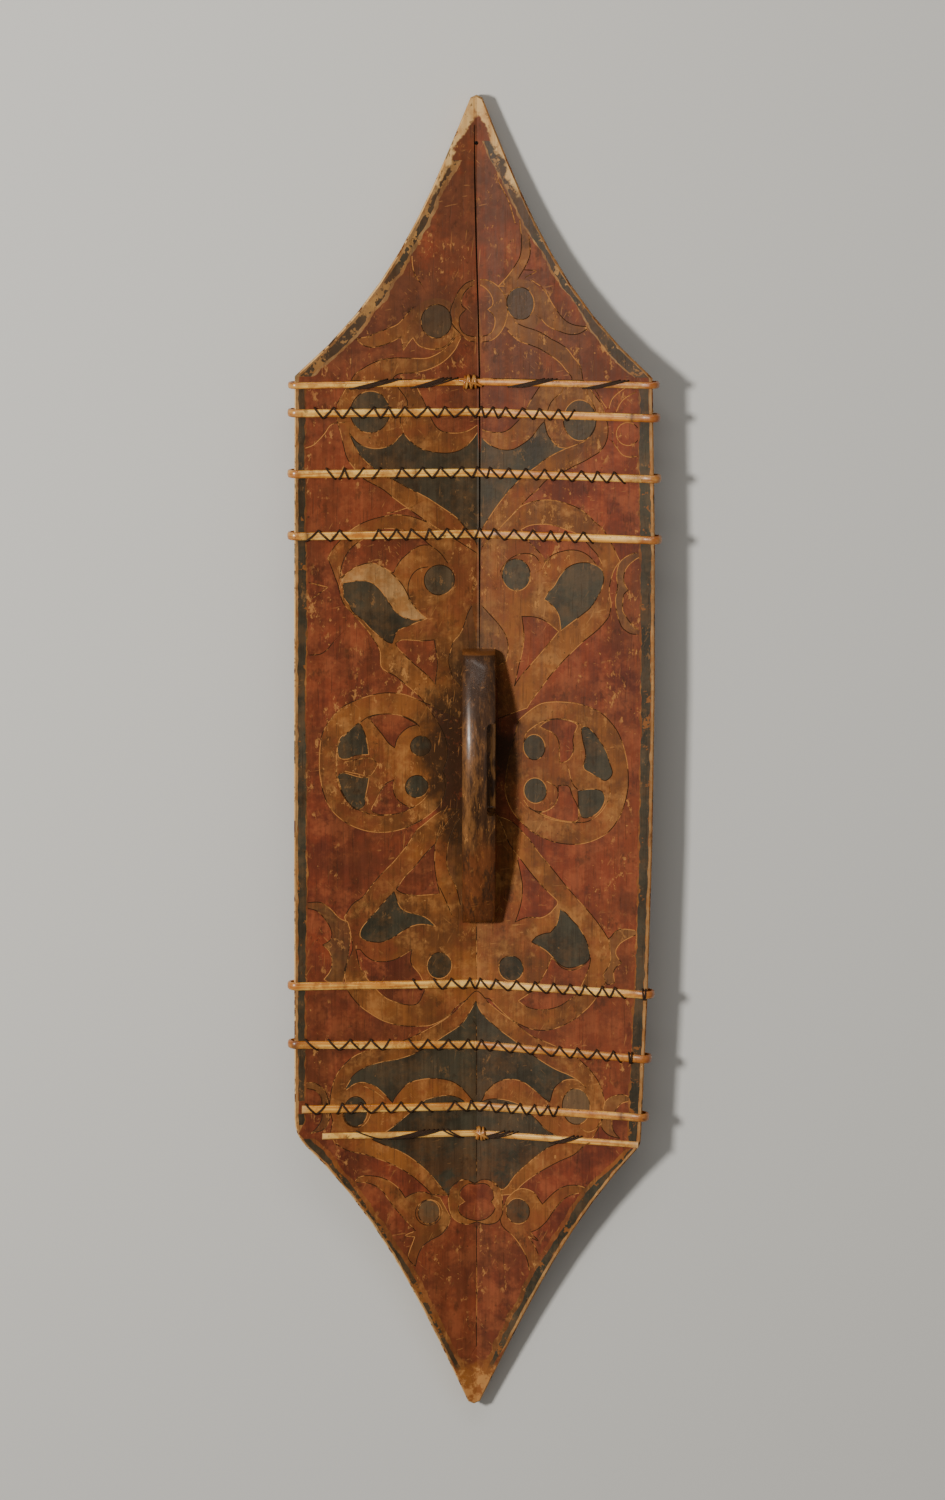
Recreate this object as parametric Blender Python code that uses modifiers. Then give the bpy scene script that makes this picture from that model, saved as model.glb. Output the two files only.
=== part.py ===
"""Plank war shield with a carved grip, bound with rattan. Metres, +Z up.

The shield is one carved board. It lies with the hollow grip side up, on the rattan that crosses its ridge.
X runs across it and Y along it towards the upper tip. It is drawn with the valley of the hollow at x = 0
and the flat of the outer ridge at z = 0, and then moved as a whole: the origin ends up under the middle
of the overall box, on the surface that the shield lies on.
"""
import math

import bmesh
import bpy
from mathutils import Vector

# Board: how far the tips and the shoulders lie along Y from the place where the grip is highest
UPPER_TIP = 0.6395
LOWER_TIP = -0.6435
UPPER_SHOULDER_LEFT = 0.377
UPPER_SHOULDER_RIGHT = 0.375
LOWER_SHOULDER_LEFT = -0.362
LOWER_SHOULDER_RIGHT = -0.373

# Board: width of each half from the valley, at the upper shoulder, midway and at the lower shoulder
LEFT_HALF = (0.1725, 0.1753, 0.1770)
RIGHT_HALF = (0.1660, 0.1695, 0.1590)

# Board: width of each half at the blunt tips, and how far the tip's point stands past them
UPPER_TIP_LEFT = 0.0062
UPPER_TIP_RIGHT = 0.0050
LOWER_TIP_LEFT = 0.0085
LOWER_TIP_RIGHT = 0.0030
TIP_NOSE = 0.0026

# Board: how far from each lower shoulder its corner is worn round
LOWER_LEFT_WEAR = 0.016
LOWER_RIGHT_WEAR = 0.006
WEAR_STEPS = 4

# Board: how straight each slope runs from shoulder to tip, where 1 is straight, and how fast the rest dies away
SLOPE_STRAIGHTNESS = {"upper": 0.65, "lower_left": 0.74, "lower_right": 0.80}
SLOPE_HOLLOW = 3.5
SLOPE_STEPS = 9
SIDE_STEPS = 5

# Board: section across the grain
RIDGE_THICKNESS = 0.015
EDGE_THICKNESS = 0.0095
HOLLOW_DEPTH = 0.033
RIDGE_FLAT = 0.024
ARRIS = 0.0012

# Grip, carved from the same board: its height above the valley, and its width
GRIP_TOP_END = 0.110
GRIP_BOTTOM_END = -0.156
GRIP_MIDDLE = 0.000
GRIP_HEIGHT = 0.055
GRIP_END_HEIGHT = 0.021
GRIP_WIDTH = 0.032
GRIP_CENTRE_X = 0.0018
GRIP_ROUNDING = 0.009
GRIP_STEPS = 7
GRIP_CHIN = 0.0035

# Finger hole right through the grip, and the side of the bar that is cut away above its sill
HOLE_TOP = 0.046
HOLE_BOTTOM = -0.043
SILL_HEIGHT = 0.010
BAR_UNDERSIDE = 0.033
BAR_RIGHT_SIDE = 0.0095
HOLE_ROUNDING = 0.003

# Drying crack along the valley: places along Y, the wander across X at each, its width and depth
CRACK_ALONG = (0.612, 0.560, 0.500, 0.440, 0.380, 0.300, 0.200, 0.112)
CRACK_ACROSS = (-0.0026, -0.0022, -0.0008, 0.0010, 0.0022, 0.0026, 0.0025, 0.0025)
CRACK_WIDTH = 0.0015
CRACK_DEPTH = 0.004

# Cord hole through the upper tip
TIP_HOLE_RADIUS = 0.0019
TIP_HOLE_X = -0.0006
TIP_HOLE_FROM_TIP = 0.0445

# Rattan: clearance to the board, and how it bends round the board's edges
GAP = 0.0003
EDGE_BEND_INSET = 0.002
EDGE_BEND_CLEARANCE = 0.0004
EDGE_RUN_OFF = 0.008
BEND_STEPS = 6
BAND_WIDTH = 0.008
BAND_THICKNESS = 0.0036
NARROW_WIDTH = 0.0065
NARROW_THICKNESS = 0.0032

# Rattan bands from the top: number, width, thickness, place along Y at the left edge and at the right edge
WHOLE_BANDS = (
    (1, NARROW_WIDTH, NARROW_THICKNESS, 0.3687, 0.3688),
    (2, BAND_WIDTH, BAND_THICKNESS, 0.3425, 0.3375),
    (3, BAND_WIDTH, BAND_THICKNESS, 0.2845, 0.2795),
    (4, BAND_WIDTH, BAND_THICKNESS, 0.2250, 0.2210),
    (5, BAND_WIDTH, BAND_THICKNESS, -0.2135, -0.2225),
    (6, BAND_WIDTH, BAND_THICKNESS, -0.2715, -0.2865),
)
# Band 7, broken off near the left edge: its place along Y at both edges, and how far it still reaches
BROKEN_LEFT_Y = -0.3360
BROKEN_RIGHT_Y = -0.3450
BROKEN_REACH = 0.1700
# Band 8, a cut length on the inner face alone: its place along Y at both edges, and how far it reaches
CUT_LEFT_Y = -0.3632
CUT_RIGHT_Y = -0.3723
CUT_REACH_LEFT = 0.1505
CUT_REACH_RIGHT = 0.1570

# Knots in the narrow bands: band, place across X, length, breadth and height
KNOTS = (
    (1, -0.0050, 0.026, 0.0125, 0.0080),
    (8, 0.0040, 0.013, 0.0125, 0.0080),
)

# Fibre lacing over the wide bands: band, first and last stitch across X
STITCH_PITCH = 0.0088
THREAD_RADIUS = 0.0006
LACED = (
    (2, -0.155, 0.092),
    (3, -0.080, 0.140),
    (4, -0.100, 0.110),
    (5, -0.042, 0.136),
    (6, -0.066, 0.139),
    (7, -0.130, 0.080),
)

# Fibre bundles that cross the narrow bands: band, first and last place across X
BUNDLE_RADIUS = 0.0009
BUNDLES = (
    (1, -0.115, -0.080),
    (1, -0.056, -0.026),
    (1, 0.036, 0.068),
    (1, 0.105, 0.139),
    (8, -0.117, -0.094),
    (8, -0.080, -0.044),
    (8, -0.031, -0.014),
    (8, 0.014, 0.031),
    (8, 0.075, 0.098),
)

# How far the cutters and the board's blanks reach past what they meet
OVERSHOOT = 0.02

WIDEST_HALF = max(max(LEFT_HALF), max(RIGHT_HALF))
INNER_SLOPE = HOLLOW_DEPTH / WIDEST_HALF
OUTER_SLOPE = (RIDGE_THICKNESS + HOLLOW_DEPTH - EDGE_THICKNESS) / (WIDEST_HALF - RIDGE_FLAT / 2)


def inner_height(x):
    """Height of the hollow face at x."""
    return RIDGE_THICKNESS + abs(x) * INNER_SLOPE


def outer_height(x):
    """Height of the outer face at x."""
    return max(0.0, abs(x) - RIDGE_FLAT / 2) * OUTER_SLOPE


def through_three(values, share):
    """The curve through three evenly spaced values, at a share from the first (0) to the last (1)."""
    first, middle, last = values
    return (first * (1 - share) * (1 - 2 * share) + middle * 4 * share * (1 - share)
            + last * share * (2 * share - 1))


def half_width(side, y):
    """Width of the left (-1) or right (+1) half at y, between the shoulders."""
    if side < 0:
        upper, lower, widths = UPPER_SHOULDER_LEFT, LOWER_SHOULDER_LEFT, LEFT_HALF
    else:
        upper, lower, widths = UPPER_SHOULDER_RIGHT, LOWER_SHOULDER_RIGHT, RIGHT_HALF
    return through_three(widths, (upper - y) / (upper - lower))


def slope(straightness, shoulder, tip):
    """Points (half width, y) of the hollow slope from a shoulder to a blunt tip, both ends included."""
    points = []
    for step in range(SLOPE_STEPS + 1):
        share = step / SLOPE_STEPS
        left = straightness * (1 - share) + (1 - straightness) * (1 - share) ** SLOPE_HOLLOW
        points.append((tip[0] + (shoulder[0] - tip[0]) * left, shoulder[1] + (tip[1] - shoulder[1]) * share))
    return points


def towards(start, end, distance):
    """The point at a distance from one point towards another."""
    share = distance / math.dist(start, end)
    return (start[0] + (end[0] - start[0]) * share, start[1] + (end[1] - start[1]) * share)


def worn_corner(before, corner, after, wear):
    """A corner between two neighbours, worn round: a curve that leaves both edges at the wear's distance."""
    start = towards(corner, before, wear)
    end = towards(corner, after, wear)
    points = []
    for step in range(WEAR_STEPS + 1):
        t = step / WEAR_STEPS
        points.append(tuple(a * (1 - t) ** 2 + 2 * b * t * (1 - t) + c * t * t
                            for a, b, c in zip(start, corner, end)))
    return points


def side_points(side):
    """Points of one side of the outline from the upper tip down to the lower tip, as (x, y)."""
    if side < 0:
        names, upper, lower = ("upper", "lower_left"), UPPER_SHOULDER_LEFT, LOWER_SHOULDER_LEFT
        widths, tips, wear = LEFT_HALF, (UPPER_TIP_LEFT, LOWER_TIP_LEFT), LOWER_LEFT_WEAR
    else:
        names, upper, lower = ("upper", "lower_right"), UPPER_SHOULDER_RIGHT, LOWER_SHOULDER_RIGHT
        widths, tips, wear = RIGHT_HALF, (UPPER_TIP_RIGHT, LOWER_TIP_RIGHT), LOWER_RIGHT_WEAR
    top = slope(SLOPE_STRAIGHTNESS[names[0]], (widths[0], upper), (tips[0], UPPER_TIP - TIP_NOSE))
    bottom = slope(SLOPE_STRAIGHTNESS[names[1]], (widths[2], lower), (tips[1], LOWER_TIP + TIP_NOSE))
    straight = []
    for step in range(1, SIDE_STEPS):
        y = upper + (lower - upper) * step / SIDE_STEPS
        straight.append((half_width(side, y), y))
    corner = worn_corner(straight[-1], bottom[0], bottom[1], wear)
    return [(side * width, y) for width, y in top[::-1] + straight + corner + bottom[1:]]


def outline():
    """The board seen from above: down the right side, round the lower tip, up the left side."""
    upper_point = ((UPPER_TIP_RIGHT - UPPER_TIP_LEFT) / 2, UPPER_TIP)
    lower_point = ((LOWER_TIP_RIGHT - LOWER_TIP_LEFT) / 2, LOWER_TIP)
    return [upper_point] + side_points(1) + [lower_point] + side_points(-1)[::-1]


def board_section():
    """The board cut across, as (x, z), wider than any part of the outline."""
    reach = WIDEST_HALF + OVERSHOOT
    return [(-reach, inner_height(reach)), (0.0, inner_height(0.0)), (reach, inner_height(reach)),
            (reach, outer_height(reach)), (RIDGE_FLAT / 2, 0.0), (-RIDGE_FLAT / 2, 0.0),
            (-reach, outer_height(reach))]


def grip_height(y):
    """Height of the grip's back above the valley at y."""
    end = GRIP_TOP_END if y > GRIP_MIDDLE else GRIP_BOTTOM_END
    share = (y - GRIP_MIDDLE) / (end - GRIP_MIDDLE)
    return GRIP_END_HEIGHT + (GRIP_HEIGHT - GRIP_END_HEIGHT) * math.cos(share * math.pi / 2) ** 0.9


def grip_side():
    """The grip seen from the side, as (y, z), from its root in the board over its back and down again."""
    root = inner_height(0.0) - RIDGE_THICKNESS / 2
    valley = inner_height(0.0)
    points = [(GRIP_TOP_END, root), (GRIP_TOP_END - GRIP_CHIN / 4, valley + GRIP_END_HEIGHT * 0.7)]
    for step in range(2 * GRIP_STEPS + 1):
        share = step / (2 * GRIP_STEPS)
        y = GRIP_TOP_END - GRIP_CHIN + (GRIP_BOTTOM_END - GRIP_TOP_END + 2 * GRIP_CHIN) * share
        points.append((y, valley + grip_height(y)))
    points.append((GRIP_BOTTOM_END + GRIP_CHIN / 4, valley + GRIP_END_HEIGHT * 0.6))
    points.append((GRIP_BOTTOM_END, root))
    return points


def finger_section():
    """What the finger hole and the cut away side of the bar take, as (x, z)."""
    sill = inner_height(0.0) + SILL_HEIGHT
    underside = inner_height(0.0) + BAR_UNDERSIDE
    above = inner_height(0.0) + GRIP_HEIGHT + OVERSHOOT
    left = GRIP_CENTRE_X - GRIP_WIDTH / 2 - OVERSHOOT
    right = GRIP_CENTRE_X + GRIP_WIDTH / 2 + OVERSHOOT
    return [(left, sill), (right, sill), (right, above), (BAR_RIGHT_SIDE, above),
            (BAR_RIGHT_SIDE, underside), (left, underside)]


def crack_outline():
    """The crack seen from above: pointed at its ends, widest between them."""
    last = len(CRACK_ALONG) - 1
    right, left = [], []
    for index, (y, x) in enumerate(zip(CRACK_ALONG, CRACK_ACROSS)):
        half = CRACK_WIDTH / 2 if 0 < index < last else CRACK_WIDTH / 5
        right.append((x + half, y))
        left.append((x - half, y))
    return right + left[::-1]


class Band:
    """A rattan band: its size, and the straight line that it follows across the board."""

    def __init__(self, number, width, thickness, left_y, right_y):
        self.number = number
        self.width = width
        self.thickness = thickness
        self.left = half_width(-1, left_y)
        self.right = half_width(1, right_y)
        self.turn = math.atan2(right_y - left_y, self.left + self.right)
        self.middle_y = left_y + math.tan(self.turn) * self.left

    def along(self, x):
        """Place along Y of the band's middle line at x."""
        return self.middle_y + math.tan(self.turn) * x

    def profile(self):
        """Half of a split cane: (away from the board, which is the minus side here, along Y)."""
        half = self.width / 2
        low, high = 0.35 * self.thickness, 0.82 * self.thickness
        right_half = [(0.0, 0.86 * half), (low, half), (high, 0.6 * half), (self.thickness, 0.28 * half)]
        return [(-out, y) for out, y in right_half] + [(-out, -y) for out, y in right_half[::-1]]


def edge_bend(side, half):
    """The bend of a band round one edge, from the inner face to the outer face, as (x, z)."""
    centre_x = half - EDGE_BEND_INSET
    arris_z = (inner_height(half) + outer_height(half)) / 2
    half_edge = (inner_height(half) - outer_height(half)) / 2
    radius = math.hypot(EDGE_BEND_INSET, half_edge) + EDGE_BEND_CLEARANCE
    start = math.pi / 2 + math.atan(INNER_SLOPE)
    end = -math.pi / 2 + math.atan(OUTER_SLOPE)
    points = []
    for step in range(BEND_STEPS + 1):
        angle = start + (end - start) * step / BEND_STEPS
        points.append((side * (centre_x + radius * math.cos(angle)), arris_z + radius * math.sin(angle)))
    return points


def right_run(half):
    """A band's path from the valley round the right edge to the outer ridge, as (x, z)."""
    off = half - EDGE_RUN_OFF
    lift = GAP * math.hypot(1.0, INNER_SLOPE)
    drop = GAP * math.hypot(1.0, OUTER_SLOPE)
    return ([(off, inner_height(off) + lift)] + edge_bend(1, half)
            + [(off, outer_height(off) - drop), (RIDGE_FLAT / 2, -GAP)])


def loop_path(left, right):
    """The closed path of a whole band round the board."""
    valley = (0.0, inner_height(0.0) + GAP * math.hypot(1.0, INNER_SLOPE))
    mirrored = [(-x, z) for x, z in right_run(left)]
    return [valley] + right_run(right) + mirrored[::-1]


def broken_path(right, end):
    """The path of the band that has broken off at the left edge, open there on both faces."""
    lift = GAP * math.hypot(1.0, INNER_SLOPE)
    drop = GAP * math.hypot(1.0, OUTER_SLOPE)
    return ([(-end, inner_height(end) + lift), (0.0, inner_height(0.0) + lift)] + right_run(right)
            + [(-RIDGE_FLAT / 2, -GAP), (-end, outer_height(end) - drop)])


def cut_path(left_end, right_end):
    """The path of the band that is left on the inner face alone."""
    lift = GAP * math.hypot(1.0, INNER_SLOPE)
    return [(-left_end, inner_height(left_end) + lift), (0.0, inner_height(0.0) + lift),
            (right_end, inner_height(right_end) + lift)]


def stitch_points(band, x_from, x_to, side, radius):
    """One stitch that crosses a band from one side of it to the other, without its last point."""
    beside = band.width / 2 + 1.8 * radius + 2 * GAP
    shoulder = 0.325 * band.width
    on_board = GAP * 2 + radius
    over_band = GAP * 2.5 + band.thickness + radius
    places = ((0.0, beside, on_board), (0.5 - shoulder / beside / 2, shoulder, over_band),
              (0.5 + shoulder / beside / 2, -shoulder, over_band))
    points = []
    for share, offset, height in places:
        x = x_from + (x_to - x_from) * share
        points.append((x, band.along(x) + side * offset, inner_height(x) + height))
    return points


def lacing_path(band, first, last):
    """The zigzag of the lacing over one band."""
    count = round((last - first) / STITCH_PITCH)
    points = []
    side = 1
    for index in range(count):
        x_from = first + (last - first) * index / count
        x_to = first + (last - first) * (index + 1) / count
        points += stitch_points(band, x_from, x_to, side, THREAD_RADIUS)
        side = -side
    points.append(stitch_points(band, last, last, side, THREAD_RADIUS)[0])
    return points


def bundle_path(band, first, last):
    """A bundle of fibres that crosses a narrow band on the slant."""
    return (stitch_points(band, first, last, -1, BUNDLE_RADIUS)
            + [stitch_points(band, last, last, 1, BUNDLE_RADIUS)[0]])


def clear_scene():
    """Take away whatever the file holds."""
    for item in list(bpy.data.objects):
        bpy.data.objects.remove(item, do_unlink=True)


def collection(name):
    """A new collection in the scene."""
    made = bpy.data.collections.new(name)
    bpy.context.scene.collection.children.link(made)
    return made


def material(name, colour, roughness):
    """A plain material."""
    made = bpy.data.materials.new(name)
    made.use_nodes = True
    shader = made.node_tree.nodes["Principled BSDF"]
    shader.inputs["Base Color"].default_value = (*colour, 1.0)
    shader.inputs["Roughness"].default_value = roughness
    shader.inputs["Metallic"].default_value = 0.0
    made.diffuse_color = (*colour, 1.0)
    return made


def flat_curve(name, points, closed):
    """A flat curve through the points, in the curve's own XY plane."""
    curve = bpy.data.curves.new(name, "CURVE")
    curve.dimensions = "2D"
    spline = curve.splines.new("POLY")
    spline.points.add(len(points) - 1)
    for point, (x, y) in zip(spline.points, points):
        point.co = (x, y, 0.0, 1.0)
    spline.use_cyclic_u = closed
    return curve


def plate(name, points, thickness, group):
    """A flat outline with a thickness, as a mesh in its own XY plane, centred on it."""
    curve = flat_curve(name, points, True)
    curve.fill_mode = "BOTH"
    curve.extrude = thickness / 2
    made = bpy.data.objects.new(name, curve)
    group.objects.link(made)
    made = as_mesh(made)
    made.data.shade_flat()
    return made


def as_mesh(source):
    """The same object as a mesh whose caps are welded."""
    bpy.context.view_layer.update()
    evaluated = source.evaluated_get(bpy.context.evaluated_depsgraph_get())
    mesh = bpy.data.meshes.new_from_object(evaluated)
    work = bmesh.new()
    work.from_mesh(mesh)
    bmesh.ops.remove_doubles(work, verts=work.verts, dist=0.00001)
    bmesh.ops.recalc_face_normals(work, faces=work.faces)
    work.to_mesh(mesh)
    work.free()
    name, group, matrix = source.name, source.users_collection[0], source.matrix_world.copy()
    bpy.data.objects.remove(source, do_unlink=True)
    made = bpy.data.objects.new(name, mesh)
    made.matrix_world = matrix
    group.objects.link(made)
    return made


def as_cutter(item):
    """Show an object as a cutter."""
    item.hide_render = True
    item.display_type = "WIRE"
    return item


def boolean(item, operation, other):
    """Cut, join or keep what an object shares with another."""
    step = item.modifiers.new(other.name, "BOOLEAN")
    step.operation = operation
    step.solver = "EXACT"
    step.object = other


def bevel(item, width, segments, angle):
    """Round the edges that are sharper than an angle."""
    step = item.modifiers.new("Rounded edges", "BEVEL")
    step.width = width
    step.segments = segments
    step.limit_method = "ANGLE"
    step.angle_limit = angle


def make_board(group, cutters, wood):
    """The board and its grip, which are one piece of wood."""
    length = UPPER_TIP - LOWER_TIP
    board = plate("board", board_section(), length + 2 * OVERSHOOT, group)
    board.rotation_euler = (math.pi / 2, 0.0, 0.0)
    board.location = (0.0, (UPPER_TIP + LOWER_TIP) / 2, 0.0)
    board.data.materials.append(wood)

    rim_height = inner_height(WIDEST_HALF) + OVERSHOOT
    shape = as_cutter(plate("outline_blank", outline(), 2 * rim_height, cutters))
    boolean(board, "INTERSECT", shape)
    bevel(board, ARRIS, 1, math.radians(50))

    grip = as_cutter(plate("grip_blank", grip_side(), GRIP_WIDTH, cutters))
    grip.rotation_euler = (math.pi / 2, 0.0, math.pi / 2)
    grip.location = (GRIP_CENTRE_X, 0.0, 0.0)
    bevel(grip, GRIP_ROUNDING, 3, math.radians(60))
    boolean(board, "UNION", grip)

    hole = as_cutter(plate("finger_cut", finger_section(), HOLE_TOP - HOLE_BOTTOM, cutters))
    hole.rotation_euler = (math.pi / 2, 0.0, 0.0)
    hole.location = (0.0, (HOLE_TOP + HOLE_BOTTOM) / 2, 0.0)
    bevel(hole, HOLE_ROUNDING, 2, math.radians(60))
    boolean(board, "DIFFERENCE", hole)

    crack = as_cutter(plate("crack_cut", crack_outline(), 2 * CRACK_DEPTH, cutters))
    crack.location = (0.0, 0.0, inner_height(0.0))
    boolean(board, "DIFFERENCE", crack)

    bpy.ops.mesh.primitive_cylinder_add(vertices=12, radius=TIP_HOLE_RADIUS, depth=4 * RIDGE_THICKNESS)
    tip_hole = bpy.context.object
    tip_hole.name = "tip_hole_cut"
    tip_hole.location = (TIP_HOLE_X, UPPER_TIP - TIP_HOLE_FROM_TIP, RIDGE_THICKNESS / 2)
    for old_group in list(tip_hole.users_collection):
        old_group.objects.unlink(tip_hole)
    cutters.objects.link(as_cutter(tip_hole))
    boolean(board, "DIFFERENCE", tip_hole)
    return board


def make_band(band, path, closed, group, cutters, rattan):
    """A rattan band along a path that lies in the plane across the board."""
    name = "rattan_band_%d" % band.number
    section = bpy.data.objects.new(name + "_profile", flat_curve(name + "_profile", band.profile(), True))
    cutters.objects.link(as_cutter(section))
    curve = flat_curve(name, path, closed)
    curve.bevel_mode = "OBJECT"
    curve.bevel_object = section
    curve.use_fill_caps = True
    made = bpy.data.objects.new(name, curve)
    group.objects.link(made)
    made.rotation_euler = (math.pi / 2, 0.0, band.turn)
    made.location = (0.0, band.middle_y, 0.0)
    made = as_mesh(made)
    made.data.shade_smooth()
    made.data.set_sharp_from_angle(angle=math.radians(50))
    bpy.data.objects.remove(section, do_unlink=True)
    made.data.materials.append(rattan)
    return made


def make_knot(item, band, x, length, breadth, height, cutters):
    """A knot that is tied in a band."""
    bpy.ops.mesh.primitive_uv_sphere_add(segments=12, ring_count=7, radius=0.5)
    knot = bpy.context.object
    knot.name = "knot_%d" % band.number
    knot.data.transform(((length, 0, 0, 0), (0, breadth, 0, 0), (0, 0, height, 0), (0, 0, 0, 1)))
    knot.location = (x, band.along(x), inner_height(x) + 4 * GAP + height / 2)
    for old_group in list(knot.users_collection):
        old_group.objects.unlink(knot)
    cutters.objects.link(as_cutter(knot))
    boolean(item, "UNION", knot)


def make_thread(name, points, radius, group, fibre):
    """A thread along a list of points."""
    curve = bpy.data.curves.new(name, "CURVE")
    curve.dimensions = "3D"
    curve.bevel_depth = radius
    curve.bevel_resolution = 0
    curve.use_fill_caps = True
    spline = curve.splines.new("POLY")
    spline.points.add(len(points) - 1)
    for point, place in zip(spline.points, points):
        point.co = (*place, 1.0)
    made = bpy.data.objects.new(name, curve)
    group.objects.link(made)
    curve.materials.append(fibre)
    return made


def stand_on_origin(group, cutters):
    """Move everything by one empty, so that the overall box stands on the origin."""
    bpy.context.view_layer.update()
    graph = bpy.context.evaluated_depsgraph_get()
    places = []
    for item in group.objects:
        mesh = item.evaluated_get(graph).to_mesh()
        places += [item.matrix_world @ vertex.co for vertex in mesh.vertices]
    low = [min(place[axis] for place in places) for axis in range(3)]
    high = [max(place[axis] for place in places) for axis in range(3)]
    frame = bpy.data.objects.new("shield_frame", None)
    frame.location = Vector((-(low[0] + high[0]) / 2, -(low[1] + high[1]) / 2, -low[2]))
    for item in list(group.objects) + list(cutters.objects):
        item.parent = frame
    group.objects.link(frame)
    bpy.context.view_layer.update()


def main():
    clear_scene()
    group = collection("plank_shield")
    cutters = collection("cutters")
    wood = material("painted_wood", (0.36, 0.13, 0.05), 0.55)
    rattan = material("rattan", (0.72, 0.42, 0.14), 0.38)
    fibre = material("dark_fibre", (0.05, 0.035, 0.03), 0.8)

    make_board(group, cutters, wood)
    bands, items = {}, {}
    for spec in WHOLE_BANDS:
        band = Band(*spec)
        bands[band.number] = band
        items[band.number] = make_band(band, loop_path(band.left, band.right), True, group, cutters, rattan)
    broken = Band(7, BAND_WIDTH, BAND_THICKNESS, BROKEN_LEFT_Y, BROKEN_RIGHT_Y)
    bands[broken.number] = broken
    path = broken_path(broken.right, BROKEN_REACH)
    items[broken.number] = make_band(broken, path, False, group, cutters, rattan)
    cut = Band(8, NARROW_WIDTH, NARROW_THICKNESS, CUT_LEFT_Y, CUT_RIGHT_Y)
    bands[cut.number] = cut
    path = cut_path(CUT_REACH_LEFT, CUT_REACH_RIGHT)
    items[cut.number] = make_band(cut, path, False, group, cutters, rattan)
    for number, *sizes in KNOTS:
        make_knot(items[number], bands[number], *sizes, cutters)
    for number, first, last in LACED:
        make_thread("lacing_%d" % number, lacing_path(bands[number], first, last), THREAD_RADIUS, group, fibre)
    for index, (number, first, last) in enumerate(BUNDLES):
        name = "bundle_%d_%d" % (number, index + 1)
        make_thread(name, bundle_path(bands[number], first, last), BUNDLE_RADIUS, group, fibre)
    stand_on_origin(group, cutters)


main()
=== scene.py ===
import math
import random

import bmesh
import bpy
import numpy as np
from mathutils import Matrix, Vector, geometry, noise


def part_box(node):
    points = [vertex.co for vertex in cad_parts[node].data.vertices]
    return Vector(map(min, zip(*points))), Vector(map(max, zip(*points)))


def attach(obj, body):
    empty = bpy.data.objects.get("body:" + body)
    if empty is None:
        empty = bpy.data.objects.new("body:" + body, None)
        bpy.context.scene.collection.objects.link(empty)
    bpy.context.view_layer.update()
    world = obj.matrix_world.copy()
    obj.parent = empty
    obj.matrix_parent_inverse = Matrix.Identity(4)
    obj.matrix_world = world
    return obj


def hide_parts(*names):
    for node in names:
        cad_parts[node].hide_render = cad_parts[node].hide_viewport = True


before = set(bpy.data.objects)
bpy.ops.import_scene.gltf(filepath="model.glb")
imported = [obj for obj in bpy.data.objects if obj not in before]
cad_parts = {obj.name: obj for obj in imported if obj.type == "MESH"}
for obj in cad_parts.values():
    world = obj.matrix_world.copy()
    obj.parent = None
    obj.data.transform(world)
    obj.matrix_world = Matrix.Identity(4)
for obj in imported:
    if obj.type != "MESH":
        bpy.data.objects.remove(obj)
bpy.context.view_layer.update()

# sizes, in metres
UPPER_TIP = 0.6395
RIDGE_THICKNESS = 0.015
INNER_SLOPE = 0.033 / 0.177
EDGE_THICKNESS = 0.0095
RIDGE_FLAT = 0.024
OUTER_SLOPE = (0.015 + 0.033 - EDGE_THICKNESS) / (0.177 - RIDGE_FLAT / 2)
LEFT_HALF = (0.1725, 0.1753, 0.1770)
RIGHT_HALF = (0.1660, 0.1695, 0.1590)
LEFT_SHOULDERS = (0.377, -0.362)
RIGHT_SHOULDERS = (0.375, -0.373)
GAP = 0.0003
EDGE_BEND_INSET = 0.002
EDGE_BEND_CLEARANCE = 0.0004
EDGE_RUN_OFF = 0.008

board_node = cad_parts["board"]
board_low, board_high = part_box("board")
ridge_x = [v.co.x for v in board_node.data.vertices if v.co.z < board_low.z + 0.0001]
# the drawing's origin: the valley line, the place where the grip is highest, and the flat of the ridge
ORIGIN = Vector(((min(ridge_x) + max(ridge_x)) / 2, board_high.y - UPPER_TIP, board_low.z))


def inner_height(x):
    return RIDGE_THICKNESS + abs(x) * INNER_SLOPE


def outer_height(x):
    return max(0.0, abs(x) - RIDGE_FLAT / 2) * OUTER_SLOPE


def half_width(side, y):
    """Width of one half of the board between its shoulders."""
    widths = LEFT_HALF if side < 0 else RIGHT_HALF
    upper, lower = LEFT_SHOULDERS if side < 0 else RIGHT_SHOULDERS
    share = (upper - y) / (upper - lower)
    first, middle, last = widths
    return (first * (1 - share) * (1 - 2 * share) + middle * 4 * share * (1 - share)
            + last * share * (2 * share - 1))


# camera and light
LENS = 127.15
LOOK_AT = Vector((-0.0007, 0.0180, 0.0389))
CAMERA_TILT = math.radians(10.5)
CAMERA_DISTANCE = 5.086


def aim(item, target):
    item.rotation_euler = (Vector(target) - item.location).to_track_quat("-Z", "Y").to_euler()


def make_camera():
    data = bpy.data.cameras.new("camera")
    data.lens = LENS
    data.sensor_width = 36.0
    data.clip_start, data.clip_end = 0.1, 40.0
    camera = bpy.data.objects.new("camera", data)
    bpy.context.scene.collection.objects.link(camera)
    back = Vector((0.0, math.sin(CAMERA_TILT), math.cos(CAMERA_TILT)))
    camera.location = LOOK_AT + back * CAMERA_DISTANCE
    up = Vector((0.0, 1.0, 0.0))
    right = up.cross(back).normalized()
    up = back.cross(right)
    camera.rotation_mode = "QUATERNION"
    camera.rotation_quaternion = Matrix((right, up, back)).transposed().to_quaternion()
    bpy.context.scene.camera = camera


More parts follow.
